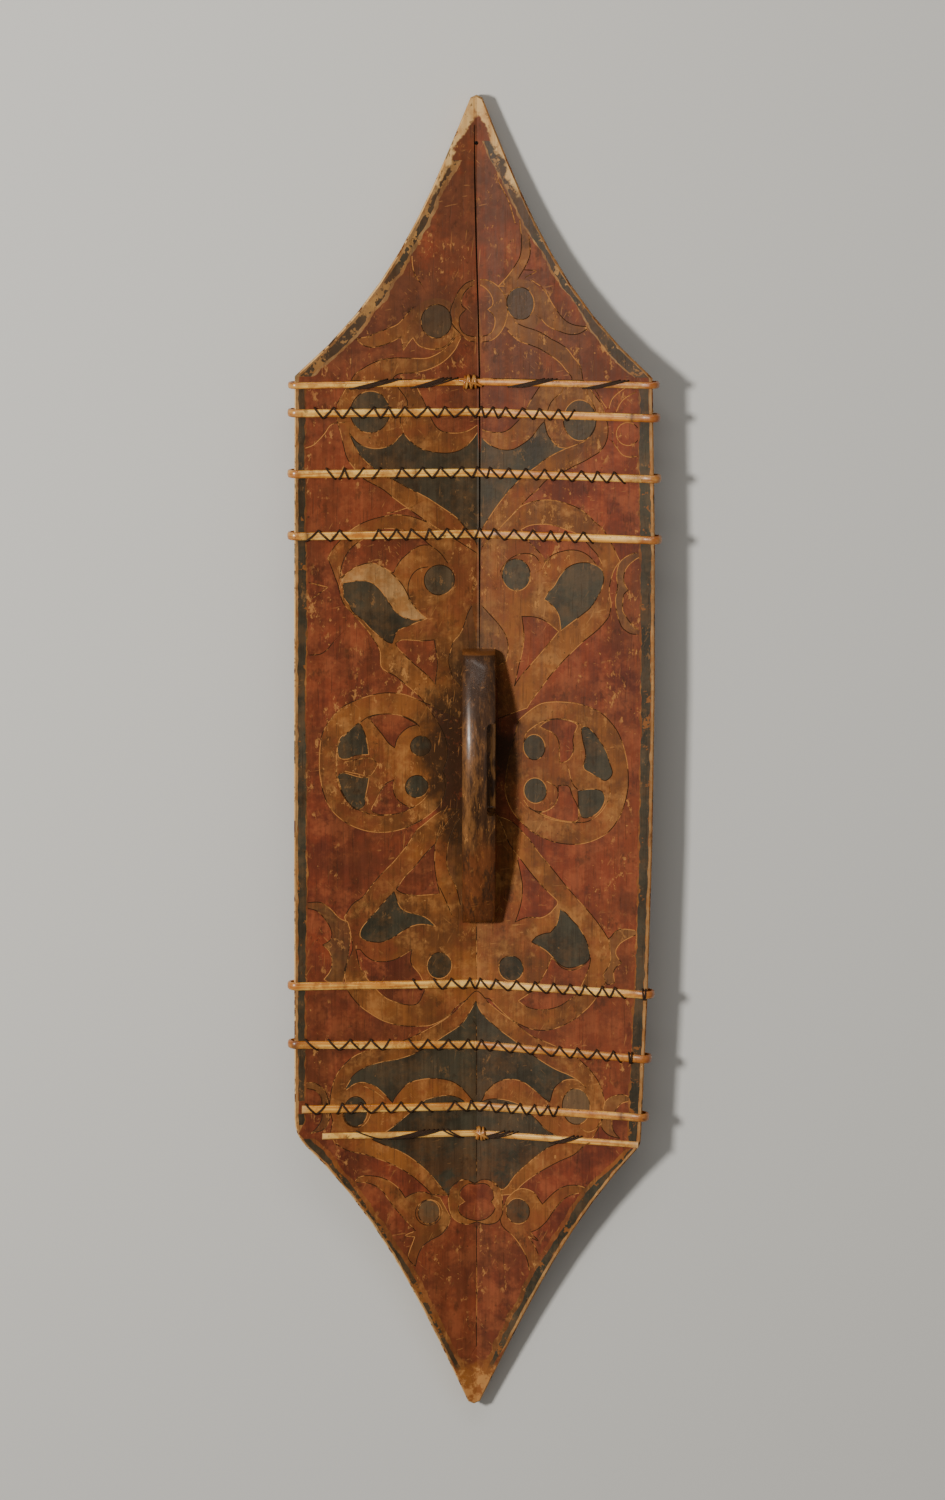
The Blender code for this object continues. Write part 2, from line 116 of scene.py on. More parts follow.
def make_light(name, place, target, size, power, colour=(1.0, 1.0, 1.0)):
    data = bpy.data.lights.new(name, "AREA")
    data.shape = "RECTANGLE"
    data.size, data.size_y = size
    data.energy = power
    data.color = colour
    light = bpy.data.objects.new(name, data)
    light.location = place
    aim(light, target)
    bpy.context.scene.collection.objects.link(light)


make_camera()


# node helpers
def link_in(tree, socket, value):
    if isinstance(value, bpy.types.NodeSocket):
        tree.links.new(value, socket)
    elif value is not None:
        if isinstance(value, tuple) and len(value) == 3 and socket.type == "RGBA":
            value = (*value, 1.0)
        socket.default_value = value


def put(tree, kind, settings=None, **inputs):
    """A node with its settings and its inputs, which are sockets or plain values."""
    made = tree.nodes.new("ShaderNode" + kind)
    for key, value in (settings or {}).items():
        setattr(made, key, value)
    for key, value in inputs.items():
        name = key.replace("_", " ")
        found = [s for s in made.inputs if s.name == name and s.enabled]
        link_in(tree, found[0] if found else made.inputs[int(key[1:])], value)
    return made


def maths(tree, operation, first, second=None):
    made = tree.nodes.new("ShaderNodeMath")
    made.operation = operation
    for socket, value in zip(made.inputs, (first, second)):
        link_in(tree, socket, value)
    return made.outputs[0]


def moved_by(tree, vector, shift):
    return put(tree, "VectorMath", {"operation": "ADD"}, Vector=vector, i1=shift).outputs[0]


def scaled_by(tree, vector, size):
    return put(tree, "VectorMath", {"operation": "SCALE"}, Vector=vector, Scale=size).outputs[0]


# sockets of a Mix node that mixes colours
COLOUR_A, COLOUR_B, COLOUR_RESULT = 6, 7, 2


def mix(tree, share, first, second):
    made = tree.nodes.new("ShaderNodeMix")
    made.data_type = "RGBA"
    link_in(tree, made.inputs["Factor"], share)
    link_in(tree, made.inputs[COLOUR_A], first)
    link_in(tree, made.inputs[COLOUR_B], second)
    return made.outputs[COLOUR_RESULT]


def ramp(tree, value, low, high, out_low=0.0, out_high=1.0):
    """A smooth step from low to high."""
    made = tree.nodes.new("ShaderNodeMapRange")
    made.interpolation_type = "SMOOTHSTEP"
    for socket, item in zip(made.inputs, (value, low, high, out_low, out_high)):
        link_in(tree, socket, item)
    return made.outputs[0]


def noise_at(tree, vector, scale, detail=3.0, stretch=None, roughness=0.55):
    """Noise between 0 and 1; stretch draws it out along an axis."""
    if stretch is not None:
        vector = put(tree, "Mapping", Vector=vector, Scale=stretch).outputs[0]
    made = put(tree, "TexNoise", Vector=vector, Scale=scale, Detail=detail, Roughness=roughness)
    return made.outputs["Fac"]


def new_group(name, inputs, outputs):
    tree = bpy.data.node_groups.new(name, "ShaderNodeTree")
    for title, kind, value in inputs:
        socket = tree.interface.new_socket(name=title, in_out="INPUT", socket_type="NodeSocket" + kind)
        if value is not None:
            socket.default_value = value
    for title, kind in outputs:
        tree.interface.new_socket(name=title, in_out="OUTPUT", socket_type="NodeSocket" + kind)
    return tree, tree.nodes.new("NodeGroupInput").outputs, tree.nodes.new("NodeGroupOutput").inputs


def use_group(tree, group, **inputs):
    made = tree.nodes.new("ShaderNodeGroup")
    made.node_tree = group
    for key, value in inputs.items():
        link_in(tree, made.inputs[key.replace("_", " ")], value)
    return made.outputs


def make_grain_group():
    """Wood or cane grain that runs along the vector's Y."""
    tree, given, result = new_group(
        "grain", (("Vector", "Vector", None), ("Fineness", "Float", 1.0)),
        (("Streaks", "Float"), ("Pores", "Float"), ("Height", "Float")))
    scaled = scaled_by(tree, given["Vector"], given["Fineness"])
    broad = noise_at(tree, scaled, 90.0, 4.0, (1.0, 0.035, 1.0))
    fine = noise_at(tree, scaled, 420.0, 3.0, (1.0, 0.03, 1.0))
    pores = ramp(tree, noise_at(tree, scaled, 700.0, 1.0, (1.0, 0.05, 1.0)), 0.62, 0.74)
    streaks = maths(tree, "ADD", maths(tree, "MULTIPLY", broad, 0.6), maths(tree, "MULTIPLY", fine, 0.4))
    tree.links.new(streaks, result["Streaks"])
    tree.links.new(pores, result["Pores"])
    height = maths(tree, "SUBTRACT", streaks, maths(tree, "MULTIPLY", pores, 0.4))
    tree.links.new(height, result["Height"])
    return tree


def make_patches_group():
    """Irregular patches: a mask that is 1 where two sizes of noise together pass a level."""
    tree, given, result = new_group(
        "worn_patches",
        (("Vector", "Vector", None), ("Size", "Float", 0.03), ("Level", "Float", 0.55),
         ("Softness", "Float", 0.04), ("Shift", "Vector", (0.0, 0.0, 0.0))),
        (("Mask", "Float"), ("Field", "Float")))
    moved = moved_by(tree, given["Vector"], given["Shift"])
    scale = maths(tree, "DIVIDE", 1.0, given["Size"])
    large = put(tree, "TexNoise", Vector=moved, Scale=scale, Detail=5.0, Roughness=0.62).outputs["Fac"]
    small = put(tree, "TexNoise", Vector=moved, Scale=maths(tree, "MULTIPLY", scale, 6.0), Detail=3.0,
                Roughness=0.6).outputs["Fac"]
    field = maths(tree, "ADD", maths(tree, "MULTIPLY", large, 0.75), maths(tree, "MULTIPLY", small, 0.25))
    low = maths(tree, "SUBTRACT", given["Level"], given["Softness"])
    high = maths(tree, "ADD", given["Level"], given["Softness"])
    tree.links.new(ramp(tree, field, low, high), result["Mask"])
    tree.links.new(field, result["Field"])
    return tree


def make_scratch_group():
    """Short thin scratches in four directions."""
    tree, given, result = new_group(
        "scratches", (("Vector", "Vector", None), ("Amount", "Float", 0.5)), (("Mask", "Float"),))
    total = None
    for turn, scale in ((0.5, 70.0), (-0.8, 90.0), (1.4, 60.0), (0.1, 80.0)):
        turned = put(tree, "VectorRotate", {"rotation_type": "Z_AXIS"}, Vector=given["Vector"],
                     Angle=turn).outputs[0]
        lines = noise_at(tree, turned, scale * 7.5, 1.5, (1.0, 0.055, 1.0), 0.5)
        line = ramp(tree, lines, 0.685, 0.72)
        where = noise_at(tree, given["Vector"], scale * 0.3, 2.0)
        line = maths(tree, "MULTIPLY", line, ramp(tree, where, 0.53, 0.62))
        total = line if total is None else maths(tree, "MAXIMUM", total, line)
    tree.links.new(maths(tree, "MULTIPLY", total, given["Amount"]), result["Mask"])
    return tree


def make_chips_group():
    """Small chips: one in some of the cells of a Voronoi pattern, with ragged edges."""
    tree, given, result = new_group(
        "chips", (("Vector", "Vector", None), ("Size", "Float", 0.006), ("Share", "Float", 0.1),
                  ("Radius", "Float", 0.2), ("Shift", "Vector", (0.0, 0.0, 0.0))), (("Mask", "Float"),))
    moved = moved_by(tree, given["Vector"], given["Shift"])
    ragged = put(tree, "TexNoise", Vector=moved, Scale=maths(tree, "DIVIDE", 2.2, given["Size"]),
                 Detail=2.0)
    push = scaled_by(tree, ragged.outputs["Color"], maths(tree, "MULTIPLY", given["Size"], 0.55))
    cells = put(tree, "TexVoronoi", Vector=moved_by(tree, moved, push),
                Scale=maths(tree, "DIVIDE", 1.0, given["Size"]), Randomness=1.0)
    chosen = put(tree, "SeparateColor", Color=cells.outputs["Color"]).outputs
    picked = maths(tree, "LESS_THAN", chosen[0], given["Share"])
    radius = maths(tree, "MULTIPLY", given["Radius"], maths(tree, "ADD", 0.45, chosen[1]))
    dot = ramp(tree, cells.outputs["Distance"], radius, maths(tree, "MULTIPLY", radius, 0.7))
    tree.links.new(maths(tree, "MULTIPLY", dot, picked), result["Mask"])
    return tree


GRAIN = make_grain_group()
CHIPS = make_chips_group()
PATCHES = make_patches_group()
SCRATCHES = make_scratch_group()


def new_material(name):
    made = bpy.data.materials.new(name)
    made.use_nodes = True
    tree = made.node_tree
    shader = tree.nodes["Principled BSDF"]
    return made, tree, shader


def finish_shader(tree, shader, colour, roughness, height, distance, strength=1.0):
    tree.links.new(colour, shader.inputs["Base Color"])
    if isinstance(roughness, bpy.types.NodeSocket):
        tree.links.new(roughness, shader.inputs["Roughness"])
    else:
        shader.inputs["Roughness"].default_value = roughness
    bump = put(tree, "Bump", Height=height, Distance=distance, Strength=strength)
    tree.links.new(bump.outputs[0], shader.inputs["Normal"])


# colours, linear
RED = (0.205, 0.040, 0.014)
RED_DEEP = (0.098, 0.022, 0.010)
RED_LIGHT = (0.330, 0.090, 0.032)
OCHRE = (0.250, 0.084, 0.017)
OCHRE_PALE = (0.480, 0.215, 0.060)
OCHRE_DEEP = (0.125, 0.043, 0.012)
BLACK = (0.027, 0.023, 0.013)
BLACK_WORN = (0.085, 0.045, 0.018)
BLACK_DUSTY = (0.085, 0.073, 0.044)
BARE = (0.480, 0.240, 0.070)
BARE_PALE = (0.700, 0.440, 0.175)
DIRT = (0.030, 0.014, 0.005)
GRIME = (0.090, 0.042, 0.022)
GRIP_DARK = (0.048, 0.021, 0.009)
GRIP_TAN = (0.190, 0.080, 0.024)
GRIP_ORANGE = (0.130, 0.040, 0.012)
CANE_DEEP = (0.600, 0.220, 0.024)
CANE_LIGHT = (0.980, 0.600, 0.145)
CANE_STAIN = (0.300, 0.078, 0.010)
CANE_SPOT = (0.080, 0.024, 0.008)
FIBRE_DARK = (0.015, 0.008, 0.004)
FIBRE_LIGHT = (0.040, 0.019, 0.009)
FIBRE_DUST = (0.090, 0.046, 0.024)


def painted_wood():
    """Old red, ochre and black paint on wood, with incised lines, worn rims and hand grease, and painted
    light and shade on the lines, the rims and the grip.
    """
    made, tree, shader = new_material("painted_wood")
    place = put(tree, "TexCoord").outputs["Object"]
    painted = put(tree, "Attribute", {"attribute_name": "paint"})
    part = put(tree, "Attribute", {"attribute_name": "place"}).outputs["Color"]
    black, ochre, groove = put(tree, "SeparateColor", Color=painted.outputs["Color"]).outputs
    pale = painted.outputs["Alpha"]
    grip, edges, outer = put(tree, "SeparateColor", Color=part).outputs
    rim = ramp(tree, edges, 0.6, 0.9)
    strip = maths(tree, "SUBTRACT", ramp(tree, edges, 0.2, 0.35), rim)
    x, y, z = put(tree, "SeparateXYZ", Vector=place).outputs
    grain = use_group(tree, GRAIN, Vector=place, Fineness=1.0)

    streaky = put(tree, "Mapping", Vector=place, Scale=(1.5, 0.30, 1.0)).outputs[0]
    flaky = put(tree, "Mapping", Vector=place, Scale=(1.0, 0.55, 1.0)).outputs[0]

    def patches(size, level, softness, shift=(0.0, 0.0, 0.0), where=place):
        return use_group(tree, PATCHES, Vector=where, Size=size, Level=level, Softness=softness,
                         Shift=shift)["Mask"]

    def times(first, second):
        return maths(tree, "MULTIPLY", first, second)

    def without(share, most=1.0):
        return maths(tree, "SUBTRACT", most, share)

    def chips_of(size, share, radius, shift):
        return use_group(tree, CHIPS, Vector=place, Size=size, Share=share, Radius=radius,
                         Shift=shift)["Mask"]

    # paint fields, each with a slow and a quick change of tone
    red = mix(tree, patches(0.10, 0.49, 0.10), RED_DEEP, RED)
    red = mix(tree, times(patches(0.024, 0.52, 0.08, (3.0, 1.0, 0.0)), 0.5), red, RED_LIGHT)
    red = mix(tree, times(patches(0.040, 0.54, 0.08, (13.0, 1.0, 2.0)), 0.65), red, RED_DEEP)
    ochre_tone = mix(tree, patches(0.075, 0.50, 0.10, (7.0, 0.0, 0.0)), OCHRE_DEEP, OCHRE)
    ochre_tone = mix(tree, times(patches(0.028, 0.55, 0.07, (0.0, 5.0, 0.0)), 0.40), ochre_tone, OCHRE_PALE)
    ochre_tone = mix(tree, times(patches(0.050, 0.53, 0.08, (8.0, 5.0, 3.0)), 0.45), ochre_tone, RED)
    ochre_tone = mix(tree, times(pale, 0.42), ochre_tone,
                     mix(tree, patches(0.02, 0.5, 0.10, (2.0, 5.0, 6.0)), BARE, BARE_PALE))
    black_tone = mix(tree, times(patches(0.034, 0.52, 0.09, (0.0, 0.0, 4.0)), 0.85), BLACK, BLACK_WORN)
    dusty = times(patches(0.060, 0.50, 0.12, (4.0, 7.0, 4.0)), 0.40)
    black_tone = mix(tree, dusty, black_tone, BLACK_DUSTY)
    black_tone = mix(tree, times(pale, 2.2), black_tone, BLACK_DUSTY)
    colour = mix(tree, ochre, red, ochre_tone)
    low_wear = times(ramp(tree, y, ORIGIN.y - 0.345, ORIGIN.y - 0.425),
                     patches(0.022, 0.47, 0.08, (4.0, 17.0, 4.0)))
    low_wear = times(low_wear, without(times(strip, 0.55), 0.55))
    black_tone = mix(tree, low_wear, black_tone, OCHRE_DEEP)
    colour = mix(tree, black, colour, black_tone)

    # grain streaks darken and lighten the paint, and a brown patina lies over all of it
    streak = ramp(tree, grain["Streaks"], 0.34, 0.66, 0.72, 1.22)
    colour = mix(tree, 0.80, colour, scaled_by(tree, colour, streak))
    unblack = without(times(black, 0.7))
    patina = times(patches(0.16, 0.50, 0.10, (2.0, 17.0, 2.0)), 0.30)
    colour = mix(tree, times(patina, unblack), colour, OCHRE_DEEP)
    colour = mix(tree, times(grain["Pores"], 0.35), colour, DIRT)

    # the border strips are worn through along the left slopes, and flecked elsewhere
    sloped = maths(tree, "MAXIMUM", ramp(tree, y, ORIGIN.y + 0.365, ORIGIN.y + 0.400),
                   ramp(tree, y, ORIGIN.y - 0.350, ORIGIN.y - 0.380))
    left_slope = times(sloped, ramp(tree, x, 0.01, -0.01))
    strip_field = use_group(tree, PATCHES, Vector=place, Size=0.017, Level=0.5, Softness=0.05,
                            Shift=(2.0, 6.0, 3.0))["Field"]
    strip_field = maths(tree, "ADD", strip_field, times(left_slope, ramp(tree, y, -0.1, 0.1, 0.034, 0.058)))
    strip_field = maths(tree, "ADD", strip_field, times(sloped, 0.012))
    strip_wear = times(ramp(tree, strip_field, 0.590, 0.610), strip)
    strip_tone = mix(tree, times(sloped, ramp(tree, y, -0.10, 0.10)), OCHRE, BARE)
    colour = mix(tree, times(strip_wear, 0.85), colour, strip_tone)
    grime = times(ramp(tree, y, ORIGIN.y + 0.26, ORIGIN.y + 0.46),
                  patches(0.050, 0.46, 0.10, (2.0, 27.0, 2.0)))
    colour = mix(tree, times(grime, 0.50), colour, GRIME)

    # chips down to pale wood, thick in places, and small dark specks
    thick = patches(0.085, 0.525, 0.05, (21.0, 3.0, 0.0))
    chips = times(chips_of(0.0065, 0.04, 0.11, (0.0, 0.0, 0.0)), 0.6)
    flakes = times(patches(0.0075, 0.592, 0.026, (1.0, 9.0, 0.0), flaky), thick)
    flakes = maths(tree, "MAXIMUM", flakes, patches(0.0075, 0.672, 0.016, (31.0, 9.0, 0.0), flaky))
    chips = maths(tree, "MAXIMUM", chips, times(flakes, 0.66))
    chips = times(chips, without(times(black, 0.6)))
    colour = mix(tree, chips, colour, OCHRE_PALE)
    specks = times(chips_of(0.0058, 0.12, 0.12, (9.0, 1.0, 5.0)), 0.65)
    colour = mix(tree, specks, colour, DIRT)
    colour = mix(tree, times(patches(0.014, 0.60, 0.04, (5.0, 2.0, 8.0), flaky), 0.42), colour, DIRT)
    scratch = use_group(tree, SCRATCHES, Vector=place, Amount=0.34)["Mask"]
    scratch = times(scratch, without(times(black, 0.55)))
    colour = mix(tree, scratch, colour, OCHRE_PALE)

    # incised lines: worn pale wood with a painted highlight where the edges catch light, and dark in
    # places, dirt with painted shade in the cut
    line_wear_and_light = mix(tree, patches(0.030, 0.49, 0.04, (2.0, 2.0, 2.0)), OCHRE_PALE, DIRT)
    colour = mix(tree, times(groove, 0.95), colour, line_wear_and_light)

    # grease and soot round the grip, scratched through
    dx = maths(tree, "DIVIDE", maths(tree, "SUBTRACT", x, ORIGIN.x - 0.010), 0.052)
    dy = maths(tree, "DIVIDE", maths(tree, "SUBTRACT", y, ORIGIN.y + 0.004), 0.120)
    reach = maths(tree, "SQRT", maths(tree, "ADD", times(dx, dx), times(dy, dy)))
    uneven = maths(tree, "SUBTRACT", noise_at(tree, place, 32.0, 5.0, None, 0.62), 0.5)
    reach = maths(tree, "ADD", reach, times(uneven, 1.3))
    stain = times(ramp(tree, reach, 1.10, 0.55), without(times(outer, 0.90), 0.90))
    nicks = use_group(tree, SCRATCHES, Vector=moved_by(tree, place, (3.0, 7.0, 1.0)), Amount=1.0)["Mask"]
    worn_through = patches(0.0055, 0.585, 0.03, (8.0, 8.0, 0.0), flaky)
    stain = times(stain, without(times(maths(tree, "MAXIMUM", nicks, worn_through), 0.6)))
    colour = mix(tree, times(stain, without(times(chips, 0.5))), colour, DIRT)
    colour = mix(tree, times(times(nicks, ramp(tree, stain, 0.05, 0.30)), 0.45), colour, OCHRE_PALE)

    # bare wood at both tips
    edge_noise = times(maths(tree, "SUBTRACT", noise_at(tree, place, 55.0, 4.0), 0.5), 0.07)
    ragged_y = maths(tree, "ADD", y, edge_noise)
    aside = maths(tree, "ABSOLUTE", maths(tree, "SUBTRACT", x, ORIGIN.x - 0.002))
    up = ramp(tree, maths(tree, "ADD", ragged_y, times(aside, 1.75)), ORIGIN.y + 0.616, ORIGIN.y + 0.624)
    up = times(up, ramp(tree, ragged_y, ORIGIN.y + 0.548, ORIGIN.y + 0.566))
    down = ramp(tree, ragged_y, ORIGIN.y - 0.592, ORIGIN.y - 0.612)
    bare = mix(tree, ramp(tree, grain["Streaks"], 0.34, 0.54), BARE, BARE_PALE)
    bare_low = mix(tree, patches(0.014, 0.5, 0.06, (4.0, 0.0, 9.0)), OCHRE, OCHRE_PALE)
    bare = mix(tree, times(patches(0.020, 0.54, 0.06, (3.0, 0.0, 19.0)), 0.5), bare, OCHRE_PALE)
    colour = mix(tree, times(up, 0.92), colour, bare)
    left_black = times(times(up, patches(0.006, 0.60, 0.02, (3.0, 5.0, 19.0), flaky)), 0.7)
    colour = mix(tree, left_black, colour, BLACK_WORN)
    colour = mix(tree, times(down, 0.85), colour, bare_low)
    left_brown = times(times(up, chips_of(0.008, 0.35, 0.22, (3.0, 3.0, 3.0))), 0.6)
    colour = mix(tree, left_brown, colour, OCHRE_DEEP)

    # rim: worn pale wood, with painted light and shade: pale and bright along the left edge, which faces
    # the light, browner along the right, which is turned from it; black left in patches
    right = ramp(tree, x, -0.02, 0.02)
    rim_wear_and_light = mix(tree, patches(0.020, 0.55, 0.03, (4.0, 4.0, 4.0)), bare, OCHRE_DEEP)
    shaded_brown_rim = mix(tree, patches(0.016, 0.50, 0.05, (14.0, 4.0, 4.0)), OCHRE_DEEP, OCHRE)
    # painted shade: the right rim is made browner than the left
    rim_wear_and_light = mix(tree, times(right, 0.75), rim_wear_and_light, shaded_brown_rim)
    rim_wear_and_light = mix(tree, times(patches(0.030, 0.58, 0.03, (0.0, 8.0, 4.0)), 0.75), rim_wear_and_light, BLACK)
    colour = mix(tree, rim, colour, rim_wear_and_light)

    # grip: dark and polished above, worn tan in the middle, orange-brown below; its left side, towards the
    # key light, painted a little lighter, and a painted highlight on the sill of the finger hole
    grip_y = maths(tree, "ADD", maths(tree, "SUBTRACT", y, ORIGIN.y), times(edge_noise, 0.9))
    # wear and painted light: the grip's left side, which faces the key light, is made a little lighter
    left_worn_and_lit = times(ramp(tree, x, ORIGIN.x + 0.006, ORIGIN.x - 0.008), 0.10)
    worn_field = use_group(tree, PATCHES, Vector=streaky, Size=0.0065, Level=0.5, Softness=0.05,
                           Shift=(6.0, 6.0, 1.0))["Field"]
    worn_field = ramp(tree, maths(tree, "ADD", worn_field, left_worn_and_lit), 0.46, 0.68)
    worn_grip = mix(tree, worn_field, GRIP_DARK, GRIP_TAN)

    def along_grip(share, size, level, softness, shift, first, second):
        """The first tone with long patches of the second."""
        return mix(tree, times(patches(size, level, softness, shift, streaky), share), first, second)

    worn_grip = along_grip(0.7, 0.0042, 0.615, 0.02, (5.0, 1.0, 7.0), worn_grip, OCHRE_PALE)
    polished = along_grip(0.45, 0.008, 0.57, 0.06, (1.0, 1.0, 7.0), GRIP_DARK, GRIP_TAN)
    low_grip = along_grip(0.85, 0.010, 0.52, 0.06, (6.0, 1.0, 1.0), GRIP_ORANGE, GRIP_DARK)
    low_grip = along_grip(0.5, 0.006, 0.60, 0.03, (16.0, 1.0, 1.0), low_grip, OCHRE)
    grip_tone = mix(tree, ramp(tree, grip_y, 0.060, 0.030), polished, worn_grip)
    grip_tone = mix(tree, ramp(tree, grip_y, -0.050, -0.090), grip_tone, low_grip)
    grip_streak = ramp(tree, grain["Streaks"], 0.34, 0.66, 0.70, 1.30)
    grip_tone = scaled_by(tree, grip_tone, grip_streak)
    end_face = ramp(tree, y, ORIGIN.y + 0.1075, ORIGIN.y + 0.1092)
    grip_tone = mix(tree, times(end_face, 0.45), grip_tone, OCHRE)
    # painted highlight: a pale strip on the worn outer edge of the finger hole's sill, which lies in the
    # bar's shadow
    deep = ramp(tree, z, ORIGIN.z + 0.0262, ORIGIN.z + 0.0252)
    below_top = ramp(tree, y, ORIGIN.y + 0.044, ORIGIN.y + 0.042)
    above_foot = ramp(tree, y, ORIGIN.y - 0.042, ORIGIN.y - 0.040)
    sill_highlight = times(times(times(deep, 0.75), ramp(tree, x, ORIGIN.x + 0.0122, ORIGIN.x + 0.0138)),
                 times(below_top, above_foot))
    sill_highlight = times(sill_highlight, ramp(tree, noise_at(tree, streaky, 160.0, 3.0), 0.40, 0.56))
    grip_tone = mix(tree, sill_highlight, grip_tone, OCHRE_PALE)
    colour = mix(tree, grip, colour, grip_tone)
    colour = mix(tree, times(times(scratch, grip), 0.7), colour, OCHRE_PALE)

    roughness = ramp(tree, grain["Streaks"], 0.3, 0.7, 0.50, 0.68)
    roughness = maths(tree, "SUBTRACT", roughness, times(grip, 0.24))
    roughness = maths(tree, "SUBTRACT", roughness, times(black, 0.08))
    roughness = maths(tree, "ADD", roughness, times(maths(tree, "MAXIMUM", rim, chips), 0.15))
    height = maths(tree, "ADD", times(grain["Height"], 0.7), times(noise_at(tree, place, 240.0, 4.0), 0.5))
    height = maths(tree, "ADD", height, times(noise_at(tree, place, 45.0, 3.0), 0.8))
    height = maths(tree, "SUBTRACT", height, times(chips, 0.6))
    finish_shader(tree, shader, colour, roughness, height, 0.0005, 0.55)
    shader.inputs["Specular IOR Level"].default_value = 0.18
    polish = times(times(grip, ramp(tree, grip_y, -0.060, 0.040)), 0.55)
    tree.links.new(polish, shader.inputs["Coat Weight"])
    shader.inputs["Coat Roughness"].default_value = 0.26
    return made


def cane():
    """Split rattan: golden, with long fibres, pale ridges, brown joints and stains."""
    made, tree, shader = new_material("split_rattan")
    run = put(tree, "Attribute", {"attribute_name": "run"}).outputs["Vector"]
    marks = put(tree, "Attribute", {"attribute_name": "marks"}).outputs["Color"]
    joint, frayed, edge = put(tree, "SeparateColor", Color=marks).outputs
    grain = use_group(tree, GRAIN, Vector=run, Fineness=1.6)

    def patches(size, level, softness, shift=(0.0, 0.0, 0.0)):
        return use_group(tree, PATCHES, Vector=run, Size=size, Level=level, Softness=softness,
                         Shift=shift)["Mask"]

    def times(first, second):
        return maths(tree, "MULTIPLY", first, second)

    colour = mix(tree, ramp(tree, grain["Streaks"], 0.40, 0.60), CANE_DEEP, CANE_LIGHT)
    colour = mix(tree, times(patches(0.036, 0.53, 0.05), 0.55), colour, CANE_STAIN)
    colour = mix(tree, times(patches(0.014, 0.55, 0.03, (0.0, 3.0, 9.0)), 0.45), colour, CANE_STAIN)
    colour = mix(tree, times(edge, 0.60), colour, CANE_STAIN)
    across = put(tree, "SeparateXYZ", Vector=put(tree, "TexCoord").outputs["Object"]).outputs[0]
    right_end = times(ramp(tree, across, 0.120, 0.172), patches(0.020, 0.45, 0.10, (7.0, 3.0, 1.0)))
    colour = mix(tree, times(right_end, 0.75), colour, CANE_STAIN)
    spots = use_group(tree, CHIPS, Vector=run, Size=0.011, Share=0.22, Radius=0.13,
                      Shift=(3.0, 3.0, 0.0))["Mask"]
    colour = mix(tree, times(spots, 0.8), colour, CANE_SPOT)
    colour = mix(tree, times(patches(0.012, 0.62, 0.02, (3.0, 13.0, 0.0)), 0.6), colour, CANE_SPOT)
    colour = mix(tree, times(joint, 0.85), colour, CANE_SPOT)
    colour = mix(tree, times(frayed, 0.7), colour, BARE_PALE)
    roughness = ramp(tree, grain["Streaks"], 0.3, 0.7, 0.40, 0.26)
    height = maths(tree, "ADD", grain["Height"], times(noise_at(tree, run, 300.0, 2.0), 0.4))
    finish_shader(tree, shader, colour, roughness, height, 0.0003, 0.7)
    shader.inputs["Coat Weight"].default_value = 0.40
    shader.inputs["Coat Roughness"].default_value = 0.20
    return made


def fibre():
    """Dark twisted palm fibre with a dusty sheen."""
    made, tree, shader = new_material("dark_fibre")
    run = put(tree, "Attribute", {"attribute_name": "run"}).outputs["Vector"]
    twist = put(tree, "Mapping", Vector=run, Rotation=(0.0, 0.0, 0.7)).outputs[0]
    strands = put(tree, "TexWave", {"wave_type": "BANDS", "bands_direction": "Y"}, Vector=twist,
                  Scale=900.0, Distortion=2.0, Detail=2.0).outputs["Fac"]
    dust = use_group(tree, PATCHES, Vector=run, Size=0.02, Level=0.5, Softness=0.12)["Mask"]
    colour = mix(tree, strands, FIBRE_DARK, FIBRE_LIGHT)
    colour = mix(tree, maths(tree, "MULTIPLY", dust, 0.35), colour, FIBRE_DUST)
    finish_shader(tree, shader, colour, ramp(tree, strands, 0.0, 1.0, 0.70, 0.5), strands, 0.0001, 0.6)
    shader.inputs["Specular IOR Level"].default_value = 0.25
    return made


WOOD = painted_wood()
RATTAN = cane()
FIBRE = fibre()


# ornament of the grip side, in millimetres
# Each field: (paint, outline incised or not, strokes). Strokes follow one another, with a corner between.
DISC_STEPS = 22


def oval(x, y, rx, ry=None):
    """A round field as one closed stroke."""
    ry = rx if ry is None else ry
    turns = [2 * math.pi * i / DISC_STEPS for i in range(DISC_STEPS + 1)]
    return [(x + rx * math.cos(turn), y + ry * math.sin(turn)) for turn in turns]


WING_LEFT = ((-121, 322), (-117, 312), (-112, 302), (-105, 294), (-98, 288), (-88, 280), (-80, 277),
    (-65, 268), (-50, 260), (-35, 250), (-20, 239), (-12, 230), (-5, 222), (0, 212))
WING_RIGHT = ((0, 212), (4, 226), (10, 236), (17, 247), (25, 258), (33, 268), (42, 277), (50, 284),
    (58, 290), (65, 296), (75, 302), (85, 307))
LOW_WING_LEFT = ((-127, -316), (-120, -305), (-110, -298), (-95, -293), (-75, -290), (-55, -283),
    (-30, -268), (-15, -258), (-8, -248), (-1, -236))
LOW_WING_RIGHT = ((-1, -236), (5, -248), (20, -262), (38, -275), (55, -288), (75, -300), (90, -306),
    (100, -312), (106, -318))
RING_LEFT = ((-50, 60), (-60, 65), (-72, 69.5), (-88, 71), (-102, 69), (-115, 65), (-128, 59), (-138, 50),
    (-145, 40), (-149, 30), (-151, 15), (-151, -5), (-148, -22), (-143, -36), (-136, -46), (-125, -55),
    (-113, -61), (-100, -64.5), (-85, -65), (-70, -62), (-58, -57), (-47, -50), (-38, -42), (-32, -33),
    (-30, -22), (-31, -12), (-33, -8))
